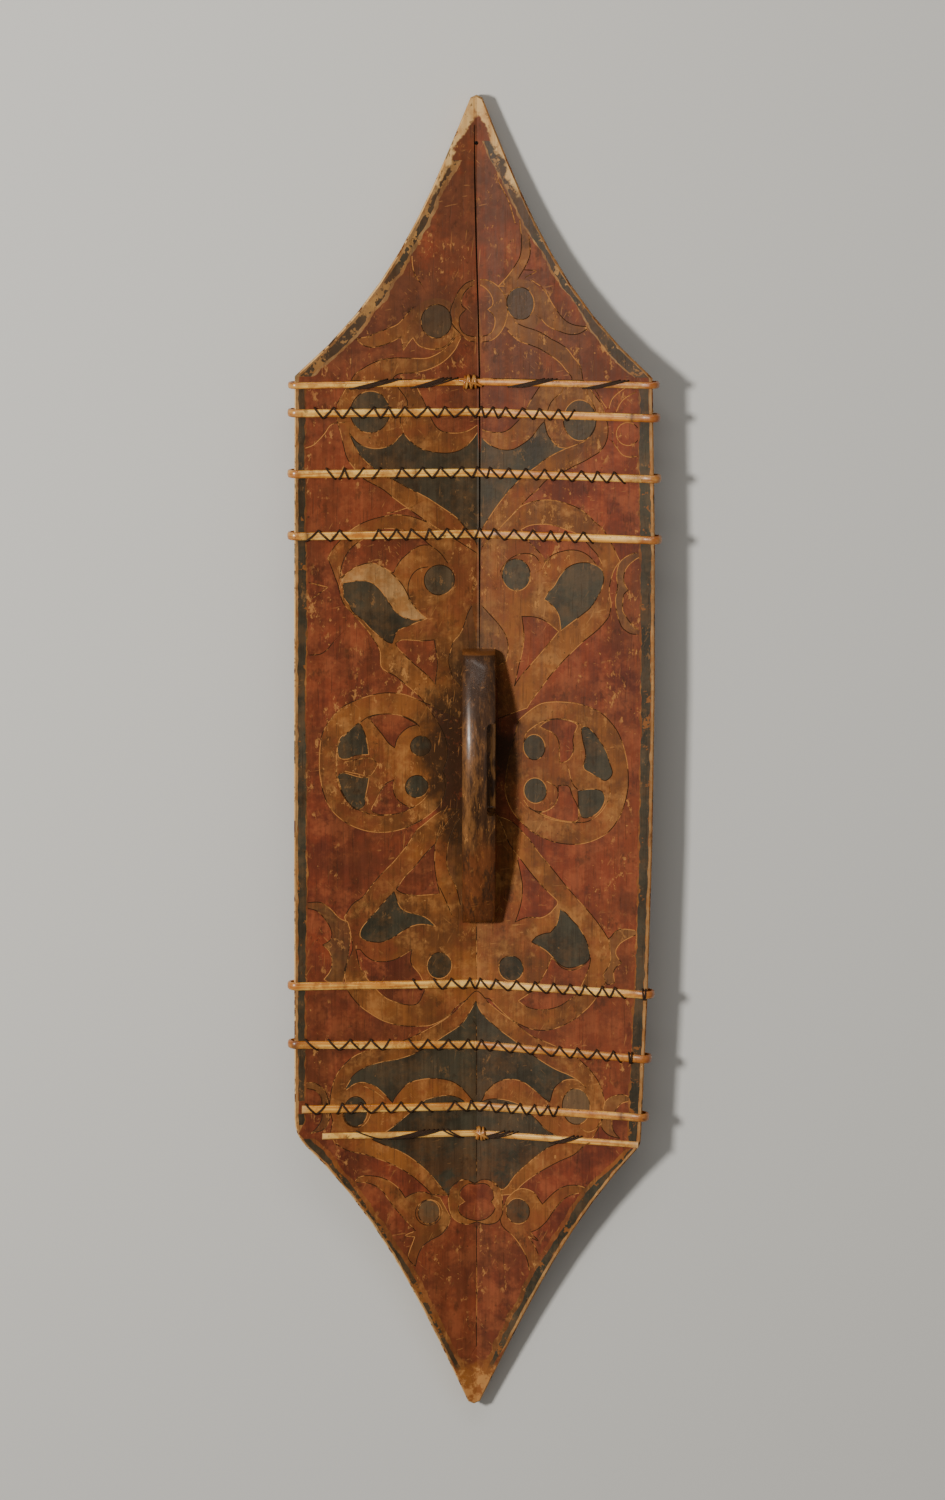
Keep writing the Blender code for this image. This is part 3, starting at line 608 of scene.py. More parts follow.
RING_LEFT_INNER = ((-55, 37), (-60, 42), (-70, 47.5), (-80, 50), (-90, 50.5), (-100, 49.5), (-108, 46),
    (-120, 36), (-128, 30), (-134, 20), (-135, 5), (-135, -8), (-132, -20), (-126, -32), (-118, -40),
    (-110, -44), (-100, -48), (-90, -48.5), (-80, -48), (-70, -46), (-62, -42), (-53, -36), (-48, -30))
RING_RIGHT = ((40, 43), (50, 52), (60, 59), (70, 61.5), (82, 62), (95, 61), (108, 57.5), (118, 53),
    (127, 45), (134, 36), (139, 25), (143, 10), (145, -5), (145, -20), (141, -38), (135, -52), (127, -63),
    (117, -70), (105, -75), (92, -77), (78, -76), (65, -72), (52, -65), (42, -56), (34, -46), (29, -35),
    (27, -25))
UP_RING_LEFT = ((-142, 203), (-137, 212), (-130, 220), (-118, 231), (-105, 237.5), (-90, 241.5), (-80, 243),
    (-68, 242), (-57, 239), (-48, 235), (-45, 232))
UP_RING_RIGHT = ((32, 240), (38, 247), (45, 252), (55, 255.5), (65, 257), (75, 256.5), (85, 254),
    (95, 250.5), (105, 244), (112, 237), (120, 230), (130, 213), (133, 206), (136, 200))
LOW_RING_LEFT = ((-125, -220), (-120, -228), (-112, -237), (-103, -244), (-92, -251), (-80, -255.5),
    (-68, -258), (-55, -258.5), (-45, -258), (-35, -254), (-26, -248), (-20, -240))
LOW_RING_RIGHT = ((12, -233), (22, -243), (32, -252), (43, -258), (55, -262), (68, -262), (78, -259),
    (90, -253), (100, -245), (110, -235), (117, -225))
BAND_UL = ((-118, 148), (-107, 135), (-100, 125), (-93, 112), (-92, 97), (-85, 91), (-78, 87), (-70, 80),
    (-62, 73), (-55, 66), (-50, 60))
BAND_UR = ((126, 146), (120, 138), (112, 130), (100, 120), (92, 112), (80, 99), (70, 87), (60, 73),
    (52, 62), (48, 55))
BAND_LL = ((-57, -63), (-65, -75), (-70, -82), (-80, -94), (-90, -104), (-100, -115), (-110, -128),
    (-120, -135), (-128, -147))
BAND_LR = ((50, -73), (60, -87), (72, -101), (85, -117), (98, -132), (110, -145), (120, -158), (127, -169))

FIELDS = [
    # upper point: arcs, hooks and ribbons round the discs and the flower
    ("ochre", 1, ((40, 525), (41, 515), (42, 505), (41, 490), (36, 480), (29, 470), (20, 460)), ((20, 460),
     (34, 462), (44, 476)), ((44, 476), (47, 482), (50, 490), (50, 500), (49, 508))),
    ("ochre", 1, ((64, 457), (68, 450), (72, 443), (77, 436), (82, 430), (88, 426), (95, 424), (106, 423)),
     ((106, 422.5), (98, 417), (92, 415.5), (85, 416), (79, 418)), ((79, 418), (66, 424), (58, 436),
     (60, 448))),
    ("ochre", 0, oval(41, 442, 24, 25)),
    ("ochre", 1, ((36, 426), (45, 422), (55, 419), (62, 416), (70, 411), (78, 407), (85, 402), (92, 393),
     (98, 385), (101, 368)), ((88, 366), (90, 374), (84, 382), (78, 389), (70, 395), (60, 401), (50, 405),
     (42, 407.5), (35, 412), (29, 418))),
    ("ochre", 0, oval(-39, 424, 25, 25)),
    ("ochre", 1, ((-120, 366), (-118, 375), (-112, 381), (-100, 388), (-90, 391.5), (-78, 393),
     (-65, 392.5), (-50, 392), (-42, 394), (-33, 399), (-25, 406), (-21, 411)), ((-14, 413), (-17, 408),
     (-21, 400), (-29, 391), (-38, 385), (-48, 381), (-60, 378.5), (-76, 377), (-84, 366))),
    ("ochre", 1, ((-60, 441), (-66, 435), (-72, 428), (-77, 424), (-90, 419), (-103, 414), (-115, 412)),
     ((-115, 412), (-108, 406), (-100, 403.5), (-90, 405), (-83, 407.5), (-76, 411), (-72, 413)),
     ((-72, 413), (-71, 407), (-70, 400)), ((-70, 400), (-66, 406), (-61, 412))),
    ("ochre", 1, ((0, 466), (8, 466), (14, 464), (20, 460)), ((20, 460), (27, 450), (29, 436), (26, 423)),
     ((26, 423), (22, 416), (16, 410), (8, 407), (0, 407)), ((0, 407), (-8, 408), (-14, 413)), ((-14, 413),
     (-24, 425), (-25, 438), (-20, 450)), ((-20, 450), (-17, 456), (-10, 463), (0, 466))),
    ("red", 1, ((0, 462), (3, 461), (8, 458), (13, 452), (15, 446), (14, 441), (10, 438)), ((10, 438),
     (16, 432), (17, 425), (15, 418), (10, 413.5), (0, 411)), ((0, 411), (-10, 413.5), (-15, 418),
     (-17, 425), (-16, 432), (-10, 438)), ((-10, 438), (-14, 441), (-15, 446), (-13, 452), (-8, 458),
     (0, 462))),
    ("line", 1, ((-61, 412), (-56, 405), (-50, 402), (-42, 400.5), (-34, 401.5), (-28, 405), (-22, 412))),
    ("line", 1, ((-62, 497), (-61, 480), (-58, 470), (-52, 462))),
    ("line", 1, ((44, 476), (56, 475), (46, 469)), ((52, 466), (60, 461))),
    ("black", 1, oval(-38.5, 427, 14.5, 16)),
    ("black", 1, oval(41, 444, 13, 15.5)),

    # upper wing
    ("ochre", 1, ((-133, 335), (-130, 325), (-127, 312), (-124, 300), (-118, 290), (-107, 278), (-90, 268),
     (-78, 258), (-66, 249), (-55, 241), (-44, 233), (-30, 224), (-15, 214), (0, 204)), ((0, 204),
     (15, 222), (30, 238), (35, 243), (42, 251), (50, 260), (57, 266), (65, 275), (72, 280), (85, 286),
     (92, 290), (102, 295), (110, 300), (117, 305), (123, 315), (124, 330), (118, 350)), ((118, 350),
     (101, 372)), ((101, 372), (-120, 372)), ((-120, 372), (-133, 350))),
    ("black", 1, WING_LEFT, WING_RIGHT, ((85, 307), (78, 308), (73, 312), (67, 320), (64, 332)), ((64, 332),
     (60, 328), (53, 318), (45, 311), (35, 305), (25, 304), (15, 307), (8, 312), (0, 320)), ((0, 320),
     (-5, 313), (-15, 304), (-30, 301), (-50, 304.5), (-62, 312), (-70, 321)), ((-70, 321), (-74, 318),
     (-82, 310), (-97, 307), (-112, 312), (-121, 322))),
    ("red", 1, ((-57, 364), (-50, 350), (-46, 340), (-40, 328), (-33, 322), (-22, 320), (-10, 321.5),
     (0, 327)), ((0, 327), (5, 323), (12, 321), (22, 320.5), (30, 323.5), (37, 330), (43, 337), (50, 350),
     (56, 360), (60, 366)), ((60, 366), (-57, 366))),
    ("line", 1, ((-75, 365), (-66, 350), (-73, 335), (-70, 322))),
    ("line", 1, ((85, 307), (95, 311), (103, 315), (109, 322), (113, 332), (112, 345), (105, 358))),
    ("line", 1, ((64, 332), (70, 350), (80, 360))),
    ("black", 1, oval(-101.5, 342, 18.5, 20)),
    ("black", 1, oval(97.5, 334, 15.5, 19.5)),
    ("line", 1, ((105, 366), (112, 363), (118, 353), (123, 346)), ((125, 346), (128, 355), (135, 362),
     (142, 367))),
    ("line", 1, ((132, 343), (135, 350), (140, 356), (150, 362))),
    ("red", 1, oval(143, 322, 11, 11)),
    ("line", 1, ((128, 315), (133, 308), (138, 302), (145, 300), (152, 301))),
    ("line", 1, ((-163, 309), (-155, 312), (-145, 322), (-138, 331), (-125, 333))),

    # heart above the grip, with its leaves
    ("ochre", 1, UP_RING_LEFT, ((-45, 232), (-30, 224), (0, 204)), ((0, 204), (15, 222), (32, 240)),
     UP_RING_RIGHT, ((136, 200), (130, 190), (126, 172), (128, 158), (126, 146)), BAND_UR, ((48, 55),
     (0, 40), (-50, 60)), BAND_UL[::-1], ((-118, 148), (-128, 160), (-133, 178), (-142, 203))),
    ("red", 1, ((-111, 219), (-119, 213), (-125, 205), (-129, 195), (-131, 183)), ((-131, 183), (-123, 189),
     (-115, 194), (-105, 197), (-97, 196.5), (-90, 193), (-80, 187)), ((-80, 187), (-72, 200), (-56, 212),
     (-45, 213)), ((-45, 213), (-60, 225), (-90, 230), (-111, 219))),
    ("red", 1, ((42, 228), (50, 232), (60, 233.5), (72, 233), (85, 229), (97, 224), (108, 213), (115, 205),
     (119, 197)), ((113, 197), (108, 203), (100, 208), (90, 209.5), (80, 207.5), (72, 204), (66, 198)),
     ((66, 198), (58, 208), (50, 216), (42, 228))),
    ("red", 1, ((-78, 119), (-72, 122), (-62, 121.5), (-52, 120.5), (-41, 121)), ((-41, 121), (-38, 100),
     (-40, 78)), ((-40, 78), (-45, 84), (-52, 91), (-60, 98), (-75, 113), (-78, 119))),
    ("red", 1, ((43, 144), (52, 144), (60, 142.5), (68, 138.5), (78, 130.5)), ((78, 130.5), (70, 120),
     (62, 110), (52, 98), (40, 83), (36, 76)), ((36, 76), (40, 95), (43, 108), (44.5, 118), (45, 128),
     (43, 144))),
    ("pale", 1, ((-130, 182), (-123, 189), (-115, 194), (-105, 197), (-97, 196.5), (-90, 193), (-82, 187),
     (-75, 180), (-70, 173), (-66, 165), (-62, 157), (-55, 148), (-48, 142)), ((-48, 142), (-58, 141),
     (-68, 143), (-76, 148), (-82, 155), (-88, 165), (-95, 174), (-102, 179), (-110, 180.5), (-120, 180),
     (-128, 179))),
    ("black", 1, ((-128, 179), (-120, 180), (-110, 180.5), (-102, 179), (-95, 174), (-88, 165), (-82, 155),
     (-76, 148), (-68, 143), (-58, 141), (-48, 142)), ((-48, 142), (-58, 138.5), (-65, 135.5), (-72, 133),
     (-77, 130), (-81, 119)), ((-81, 119), (-85, 120), (-92, 125), (-98, 130), (-104, 136), (-110, 143),
     (-118, 150), (-122, 157), (-127, 165), (-128, 179))),
    ("black", 1, ((64, 161), (68, 168), (74, 175), (79, 184), (86, 192), (95, 196.5), (105, 197.5),
     (113, 195.5), (119, 191), (121, 184), (119, 173), (114, 163), (108, 154), (100, 147), (90, 139),
     (80, 131)), ((80, 131), (79.5, 138), (78, 146), (74, 153), (69, 158), (64, 161))),
    ("line", 1, ((62, 190), (66, 198))),
    ("black", 1, oval(-36, 179, 14.5)),
    ("black", 1, oval(37.5, 184, 13.5, 15.5)),
    ("line", 1, ((-65, 160), (-66, 170), (-65, 178), (-61, 186), (-55, 190.5), (-47, 192))),
    ("line", 1, ((22, 186), (25, 192), (30, 198), (38, 203), (47, 205), (55, 203), (60, 197))),
    ("line", 1, ((-86, 245), (-78, 246), (-68, 249), (-62, 250))),
    ("line", 1, ((-28, 195), (-35, 205), (-45, 213))),
    ("shade", 1, ((160, 210), (154, 209), (147, 207), (140, 203), (135, 197), (133, 186), (134, 174),
     (132, 162), (134, 148), (138, 137), (142, 133), (148, 130), (160, 130)), ((160, 130), (160, 133)),
     ((160, 133), (154, 134), (147, 140), (142, 147), (139, 152), (139, 160), (140, 168), (144, 172)),
     ((144, 172), (140, 180), (140, 186), (142, 193), (147, 199), (154, 204), (160, 205)), ((160, 205),
     (160, 210))),
    ("line", 1, ((-160, 180), (-142, 175)), ((-142, 175), (-158, 164))),
    ("line", 1, ((-160, 110), (-150, 110.5), (-143, 115), (-137, 122))),
    ("shade", 1, ((-5, 153), (-9, 145), (-13, 133), (-18, 124), (-22, 120), (-26, 108), (-27, 98),
     (-25, 90), (-22, 82), (-15, 74)), ((-15, 74), (28, 100)), ((28, 100), (30, 112), (28, 124), (22, 134),
     (15, 142), (2, 156))),

    # rings beside the grip
    ("ochre", 1, RING_LEFT, ((-33, -8), (-28, 10), (-33, 32), (-50, 60))),
    ("line", 1, RING_LEFT_INNER),
    ("red", 1, ((-104, 47), (-100, 49), (-88, 50.5), (-75, 49), (-65, 44), (-57, 39)), ((-57, 39),
     (-65, 37), (-72, 32), (-77, 25), (-79, 17)), ((-79, 17), (-85, 22), (-92, 32), (-104, 47))),
    ("red", 1, ((-80, -14), (-88, -18), (-93, -25), (-97, -33), (-101, -40), (-102, -44)), ((-102, -44),
     (-95, -47.5), (-85, -48), (-72, -46.5), (-62, -42)), ((-62, -42), (-68, -40), (-75, -35), (-80, -27),
     (-80, -14))),
    ("black", 1, ((-113, 43), (-120, 38), (-125, 33), (-131, 29), (-134, 20), (-133, 10), (-130, 8),
     (-123, 8), (-117, 11), (-104, 11.5)), ((-104, 11.5), (-105, 20), (-107, 30), (-110, 38), (-113, 43))),
    ("black", 1, ((-134, -9), (-131, -6), (-126, -6), (-120, -8), (-112, -10.5), (-104, -11)), ((-104, -11),
     (-105, -18), (-107, -28), (-108, -37), (-111, -41), (-116, -42), (-121, -38), (-127, -29), (-131, -20),
     (-134, -9))),
    ("line", 1, ((-127, 5), (-115, 7), (-103, 8), (-95, 2)), ((-95, 2), (-103, -9), (-115, -7),
     (-127, -4))),
    ("black", 1, oval(-54, 18, 10)),
    ("black", 1, oval(-58, -21.5, 11)),
    ("ochre", 1, RING_RIGHT, ((27, -25), (30, 0), (40, 43))),
    ("line", 1, ((45, 20), (47, 30), (53, 36), (62, 42), (72, 45), (82, 45.5), (92, 43.5), (100, 40))),
    ("line", 1, ((45, -35), (50, -42), (60, -48), (70, -52.5), (80, -54.5), (92, -55.5), (105, -54.5),
     (113, -50), (120, -43), (126, -33), (128, -25))),
    ("red", 1, ((60, 37), (66, 42), (75, 45), (88, 44), (96, 40), (94, 33), (92, 25), (93, 17), (91, 10),
     (87, 5), (80, 2)), ((80, 2), (79, 10), (79, 20), (77, 27), (72, 32), (60, 37))),
    ("red", 1, ((78, -20), (78, -30), (74, -40), (67, -45), (60, -47)), ((60, -47), (70, -51), (82, -54),
     (95, -54.5), (98, -50)), ((98, -50), (97, -40), (92, -30), (88, -20), (78, -20))),
    ("black", 1, ((100, 35), (102, 39), (106, 38), (112, 33), (118, 25), (124, 15), (127, 5), (130, -5),
     (128, -10), (123, -13.5), (117, -11), (110, -7), (103, -3), (102, 0), (104, 8), (104, 15), (102, 23),
     (100, 35))),
    ("black", 1, ((97, -25), (103, -23), (112, -22), (120, -24), (123, -30), (121, -38), (116, -45),
     (108, -50), (101, -50), (98, -43), (97, -25))),
    ("line", 1, ((88, -3), (90, -12), (93, -19), (97, -23))),
    ("line", 1, ((67, -16), (73, -19), (77, -22), (78, -30), (76, -37), (70, -43), (62, -46), (52, -44),
     (47, -38))),
    ("black", 1, oval(55, 17, 10.5, 12.5)),
    ("black", 1, oval(56, -25.5, 11, 12.5)),

    # below the grip
    ("ochre", 1, ((0, -50), (-30, -45), (-57, -63)), BAND_LL, ((-128, -147), (-124, -160), (-120, -178),
     (-128, -200), (-125, -220)), LOW_RING_LEFT, ((-20, -240), (-4, -232), (12, -233)), LOW_RING_RIGHT,
     ((117, -225), (128, -205), (132, -185), (127, -169)), BAND_LR[::-1], ((50, -73), (30, -55), (0, -50))),
    ("red", 1, ((-40, -78), (-50, -88), (-60, -100), (-70, -110), (-78, -122)), ((-78, -122), (-72, -126),
     (-62, -128.5), (-50, -128.5), (-36, -128)), ((-36, -128), (-40, -108), (-41, -95), (-40, -78))),
    ("red", 1, ((38, -88), (50, -104), (60, -116), (70, -126), (78, -134), (76, -139)), ((76, -139),
     (70, -146), (62, -150.5), (52, -150.5), (45, -152), (37, -156)), ((37, -156), (40, -147), (43, -135),
     (44, -120), (42, -107), (38, -88))),
    ("shade", 1, ((-14, -50), (-22, -62), (-27, -75), (-29, -88), (-29, -100), (-26, -110), (-21, -120),
     (-18, -130), (-16, -140)), ((-16, -140), (10, -130), (14, -60), (-14, -50))),
    ("line", 1, ((-35, -60), (-38, -68), (-40, -80))),
    ("line", 1, ((-36, -122), (-31, -133), (-24, -150))),
    ("line", 1, ((17, -45), (25, -62), (31, -78), (38, -88))),
    ("line", 1, ((-17, -45), (-25, -53), (-35, -66), (-40, -78))),
    ("red", 1, ((-117, -180), (-113, -180), (-108, -186), (-100, -191.5), (-90, -193), (-80, -191.5),
     (-72, -187.5), (-63, -182)), ((-63, -182), (-64, -195), (-55, -208), (-50, -222)), ((-50, -222),
     (-60, -237), (-85, -231), (-100, -218)), ((-100, -218), (-112, -200), (-117, -180))),
    ("red", 1, ((72, -190), (75, -192), (82, -199), (90, -201.5), (98, -199.5), (104, -195), (110, -188)),
     ((110, -188), (109, -195), (106, -205), (97, -225)), ((97, -225), (88, -232), (80, -237.5), (70, -241),
     (60, -242), (48, -239.5), (40, -234)), ((40, -234), (55, -222), (66, -205), (72, -190))),
    ("black", 1, ((-80, -124), (-88, -132), (-97, -142), (-107, -153), (-112, -160), (-113, -167),
     (-108, -171), (-100, -173), (-93, -173.5), (-85, -171), (-77, -167), (-68, -161), (-60, -158),
     (-52, -157.5), (-40, -160)), ((-40, -160), (-48, -152), (-56, -148), (-65, -145.5), (-72, -142),
     (-76, -136), (-80, -124))),
    ("black", 1, ((80, -141), (86, -145), (92, -152), (98, -158), (103, -166), (107, -175), (109, -184),
     (108, -191), (103, -195), (95, -198), (87, -199), (80, -196), (74, -190), (68, -184), (62, -180),
     (53, -175)), ((53, -175), (57, -170), (64, -166.5), (71, -165)), ((71, -165), (75, -160), (78, -153),
     (80, -141))),
    ("black", 1, oval(-36.5, -199, 12, 13)),
    ("black", 1, oval(33, -202, 12, 12.5)),
    ("shade", 1, ((-168, -132), (-153, -131.5), (-147, -134), (-140, -140), (-133, -148), (-125, -152)),
     ((-125, -152), (-122, -165), (-124, -182), (-128, -205), (-131, -214)), ((-131, -214), (-140, -213),
     (-148, -208)), ((-148, -208), (-142, -200), (-140, -190), (-143, -180), (-149, -174)), ((-149, -174),
     (-142, -170), (-140, -164), (-142, -156), (-147, -148), (-153, -141), (-160, -138), (-168, -137)),
     ((-168, -137), (-168, -132))),
    ("shade", 1, ((127, -169), (130, -166), (134, -161), (142, -158.5), (158, -160)), ((158, -160),
     (158, -163)), ((158, -163), (153, -164), (145, -168), (138, -173), (134, -180), (135, -186),
     (140, -192)), ((140, -192), (135, -196), (132, -202), (133, -212)), ((133, -212), (126, -214),
     (122, -205)), ((122, -205), (129, -190), (127, -169))),

    # lower wing
    ("ochre", 1, ((-140, -350), (-143, -335), (-141, -318), (-137, -305), (-130, -295), (-118, -285),
     (-100, -279), (-80, -275), (-65, -270), (-50, -263), (-35, -255), (-22, -246), (-12, -236)),
     ((-12, -236), (0, -226), (12, -238)), ((12, -238), (25, -248), (40, -258), (52, -268), (70, -275),
     (90, -284), (104, -294), (116, -308), (122, -322), (124, -340), (118, -358), (108, -374)),
     ((105, -375), (95, -385), (80, -393), (65, -402), (52, -411), (42, -420), (36, -428)), ((36, -428),
     (0, -432), (-44, -428)), ((-44, -428), (-52, -419), (-65, -407), (-80, -397), (-95, -390),
     (-110, -384), (-125, -380), (-138, -372)), ((-138, -372), (-142, -362), (-140, -350))),
    ("black", 1, LOW_WING_LEFT, LOW_WING_RIGHT, ((106, -318), (98, -311), (90, -310), (82, -313),
     (75, -320), (71, -334)), ((71, -334), (65, -330), (55, -322), (45, -315), (33, -312.5), (20, -316),
     (10, -325), (5, -335)), ((5, -335), (-1, -342), (-5, -334)), ((-5, -334), (-15, -322), (-25, -315),
     (-40, -311.5), (-55, -312), (-68, -316), (-79, -328), (-82, -334)), ((-82, -334), (-90, -325),
     (-100, -316), (-112, -312), (-120, -314), (-127, -319))),
    ("black", 1, ((-50, -332), (-40, -330), (-30, -329), (-18, -332), (-4, -342)), ((-4, -342), (8, -335),
     (18, -333), (30, -334), (42, -338), (50, -345)), ((50, -345), (58, -352), (68, -362), (80, -368),
     (92, -370)), ((92, -370), (72, -378), (60, -387), (48, -398), (38, -408), (30, -420)), ((30, -420),
     (24, -424), (14, -416), (5, -415), (-2, -419), (-10, -415), (-18, -416), (-28, -430)), ((-28, -430),
     (-36, -420), (-42, -412)), ((-42, -412), (-50, -403), (-62, -392), (-75, -383), (-90, -376),
     (-102, -370)), ((-102, -370), (-88, -362), (-78, -355), (-66, -345), (-50, -332))),
    ("line", 1, ((-130, -345), (-127, -352), (-120, -356.5), (-112, -356), (-106, -350), (-103, -342))),
    ("line", 1, ((-88, -332), (-94, -326), (-102, -320), (-110, -316))),
    ("black", 1, oval(-118, -341, 11.5, 15)),
    ("grey", 1, oval(96.5, -337, 13.5, 18)),
    ("shade", 1, ((-170, -311), (-160, -310), (-152, -314), (-146, -322), (-143, -336), (-144, -350),
     (-150, -358), (-162, -361)), ((-162, -361), (-156, -356), (-151, -348), (-150, -338)), ((-150, -338),
     (-151, -326), (-157, -318), (-170, -315)), ((-170, -315), (-170, -311))),
    ("shade", 1, ((122, -344), (124, -332), (130, -326), (140, -323), (149, -325)), ((149, -325),
     (149, -329)), ((149, -329), (140, -332), (134, -340), (131, -350), (133, -360), (139, -367)),
     ((139, -367), (128, -364), (121, -356), (122, -344))),
    ("line", 1, ((100, -358), (108, -362), (116, -358), (120, -350))),

    # lower point
    ("ochre", 1, ((-120, -412), (-115, -407), (-105, -406), (-92, -409), (-82, -415), (-75, -422),
     (-70, -430)), ((-70, -430), (-62, -426), (-53, -425), (-45, -428), (-36, -432)), ((-36, -432),
     (-26, -452)), ((-26, -452), (-28, -460), (-35, -469), (-45, -474), (-53, -480), (-58, -490),
     (-60, -500)), ((-60, -500), (-67, -492), (-66, -484), (-63, -476), (-61, -470)), ((-61, -470),
     (-70, -468), (-60, -464)), ((-60, -464), (-65, -458), (-72, -450), (-80, -440), (-87, -430),
     (-93, -421), (-102, -415), (-110, -412.5), (-120, -412))),
    ("ochre", 1, ((107, -422), (105, -418), (95, -416), (85, -418), (77, -423), (70, -430), (64, -437)),
     ((64, -437), (60, -431), (55, -425), (46, -422), (38, -424), (30, -432)), ((30, -432), (22, -450)),
     ((22, -450), (25, -461), (35, -470), (42, -479), (48, -490), (51, -502), (52, -515)), ((52, -515),
     (61, -495), (59, -485), (55, -477), (50, -470)), ((50, -470), (60, -474), (52, -466)), ((52, -466),
     (60, -462), (68, -454), (73, -446), (80, -436), (87, -429), (95, -425), (107, -422))),
    ("ochre", 1, ((-2, -419), (-10, -415), (-18, -416), (-25, -422), (-28, -432), (-26, -448), (-20, -456),
     (-10, -460), (0, -458)), ((0, -458), (10, -460), (20, -457), (25, -448), (25, -438), (24, -428),
     (20, -420), (13, -415), (5, -415), (-2, -419))),
    ("red", 1, ((-2, -420), (-8, -419), (-14, -423), (-17, -430), (-12, -437)), ((-12, -437), (-18, -441),
     (-17, -448), (-10, -454), (0, -457)), ((0, -457), (8, -455), (15, -449), (18, -442), (14, -437)),
     ((14, -437), (17, -431), (15, -424), (8, -419), (-2, -420))),
    ("line", 1, oval(-47, -446, 13)),
    ("grey", 1, oval(-47, -445.5, 10.5, 12)),
    ("black", 1, oval(40, -445, 11.5, 13)),
    ("line", 1, ((20, 560), (30, 540), (36, 520))),
    ("line", 1, ((-0.6, -160), (-0.4, -205))),
    ("line", 1, ((-0.5, -260), (-0.2, -300), (-0.5, -330))),
    ("line", 1, ((-0.5, -362), (-0.2, -390), (-0.5, -412))),
    ("line", 1, ((-0.5, -462), (-0.2, -520), (-0.5, -585))),
]

# black border strips: (paint strip's inner edge) with ragged ends; drawn out past the rim
BORDERS = [
    [(-163, 372), (-163.5, 350), (-163, 330), (-164, 300), (-163, 270), (-164, 230), (-163, 200),
     (-162.5, 150), (-164, 100), (-164.5, 50), (-164, 0), (-164.5, -60), (-164, -110), (-165, -160),
     (-166, -215), (-166.5, -250), (-166, -270), (-167, -300), (-167.5, -328)],
    [(-168, -341), (-167.5, -347), (-169, -352)],
    [(154, 372), (154.5, 340), (154, 300), (155, 250), (156, 200), (156.5, 150), (157, 100), (157.5, 50),
     (157, 0), (156.5, -50), (156, -100), (155, -150), (153.5, -200), (151.5, -250), (150, -280),
     (149, -310), (148, -340), (147, -370)],
]

# side, gap between the black strip and the rim, width of the worn line inside it, points of its inner edge
SLOPE_STRIPS = [
    (-1, 2.6, 3.6, [(-17, 579), (-25, 567), (-30, 558), (-38, 545), (-42, 532), (-47, 522), (-52, 513),
     (-57, 505), (-61, 498), (-70, 480), (-74, 473), (-81, 464), (-86, 455), (-91, 446), (-100, 437),
     (-107, 427), (-113, 418), (-122, 409), (-130, 401), (-140, 393), (-158, 377)]),
    (1, 1.0, 1.6, [(6, 597), (10, 588), (14, 578), (20, 568), (25, 558), (30, 548), (40, 528), (50, 510),
     (57, 500), (64, 490), (70, 477), (77, 467), (83, 457), (90, 450), (97, 440), (103, 430), (107, 422),
     (115, 412), (121, 403), (135, 388), (150, 376)]),
    (-1, 1.8, 5.0, [(-163, -366), (-152, -376), (-143, -387), (-135, -400), (-124, -412), (-113, -428),
     (-103, -445), (-93, -458), (-84, -475), (-75, -488), (-63, -508), (-53, -530), (-43, -550),
     (-33, -572), (-23, -592), (-13, -612), (-8, -625)]),
    (1, 2.6, 5.0, [(150, -377), (140, -388), (130, -398), (120, -408), (108, -421), (97, -437), (88, -454),
     (80, -467), (72, -480), (62, -496), (57, -506), (50, -520), (44, -536), (36, -550), (30, -564),
     (22, -580), (17, -592), (12, -603), (7, -614), (4, -624)]),
]

# how black, how ochre and how pale each paint is
PAINTS = {"red": (0.0, 0.0, 0.0), "ochre": (0.0, 1.0, 0.0), "pale": (0.0, 1.0, 1.0),
          "black": (1.0, 0.0, 0.0), "grey": (0.72, 1.0, 0.3), "shade": (0.42, 1.0, 0.0)}
STRIP_MARK = 0.4
SAMPLE = 2.6
GROOVE_HALF = 0.43
GROOVE_DEPTH = 0.38
# the widths of the pale rim and of the narrow one along the upper right slope; the tips' rim stays painted
PALE_RIM = 3.4
NARROW_RIM = 1.5
TIP_HALF = 24
SLOPE_START = 372
# how near an incised line may come to a rim, and painted edges and the sides of lines
LINE_CLEAR = 1.2
SIDE_CLEAR = 0.7
PAINT_CLEAR = 0.35
BORDER_CLEAR = 0.3


def spline_point(a, b, c, d, t):
    """A point between b and c on a smooth curve through a, b, c and d."""
    return 0.5 * (2 * b + (c - a) * t + (2 * a - 5 * b + 4 * c - d) * t * t
                  + (3 * b - a - 3 * c + d) * t ** 3)


def smooth_stroke(points):
    """A smooth curve through the points, sampled evenly enough for a carved line."""
    points = [Vector(p) for p in points]
    if len(points) == 2:
        steps = max(1, int((points[1] - points[0]).length / SAMPLE))
        return [points[0].lerp(points[1], i / steps) for i in range(steps + 1)]
    ends = [2 * points[0] - points[1]] + points + [2 * points[-1] - points[-2]]
    made = []
    for a, b, c, d in zip(ends, ends[1:], ends[2:], ends[3:]):
        steps = max(1, round((c - b).length / SAMPLE))
        for i in range(steps):
            made.append(spline_point(a, b, c, d, i / steps))
    return made + [points[-1]]


def closed_outline(strokes):
    outline = []
    for stroke in strokes:
        outline += smooth_stroke(stroke)
    return np.array([tuple(p) for p in outline])


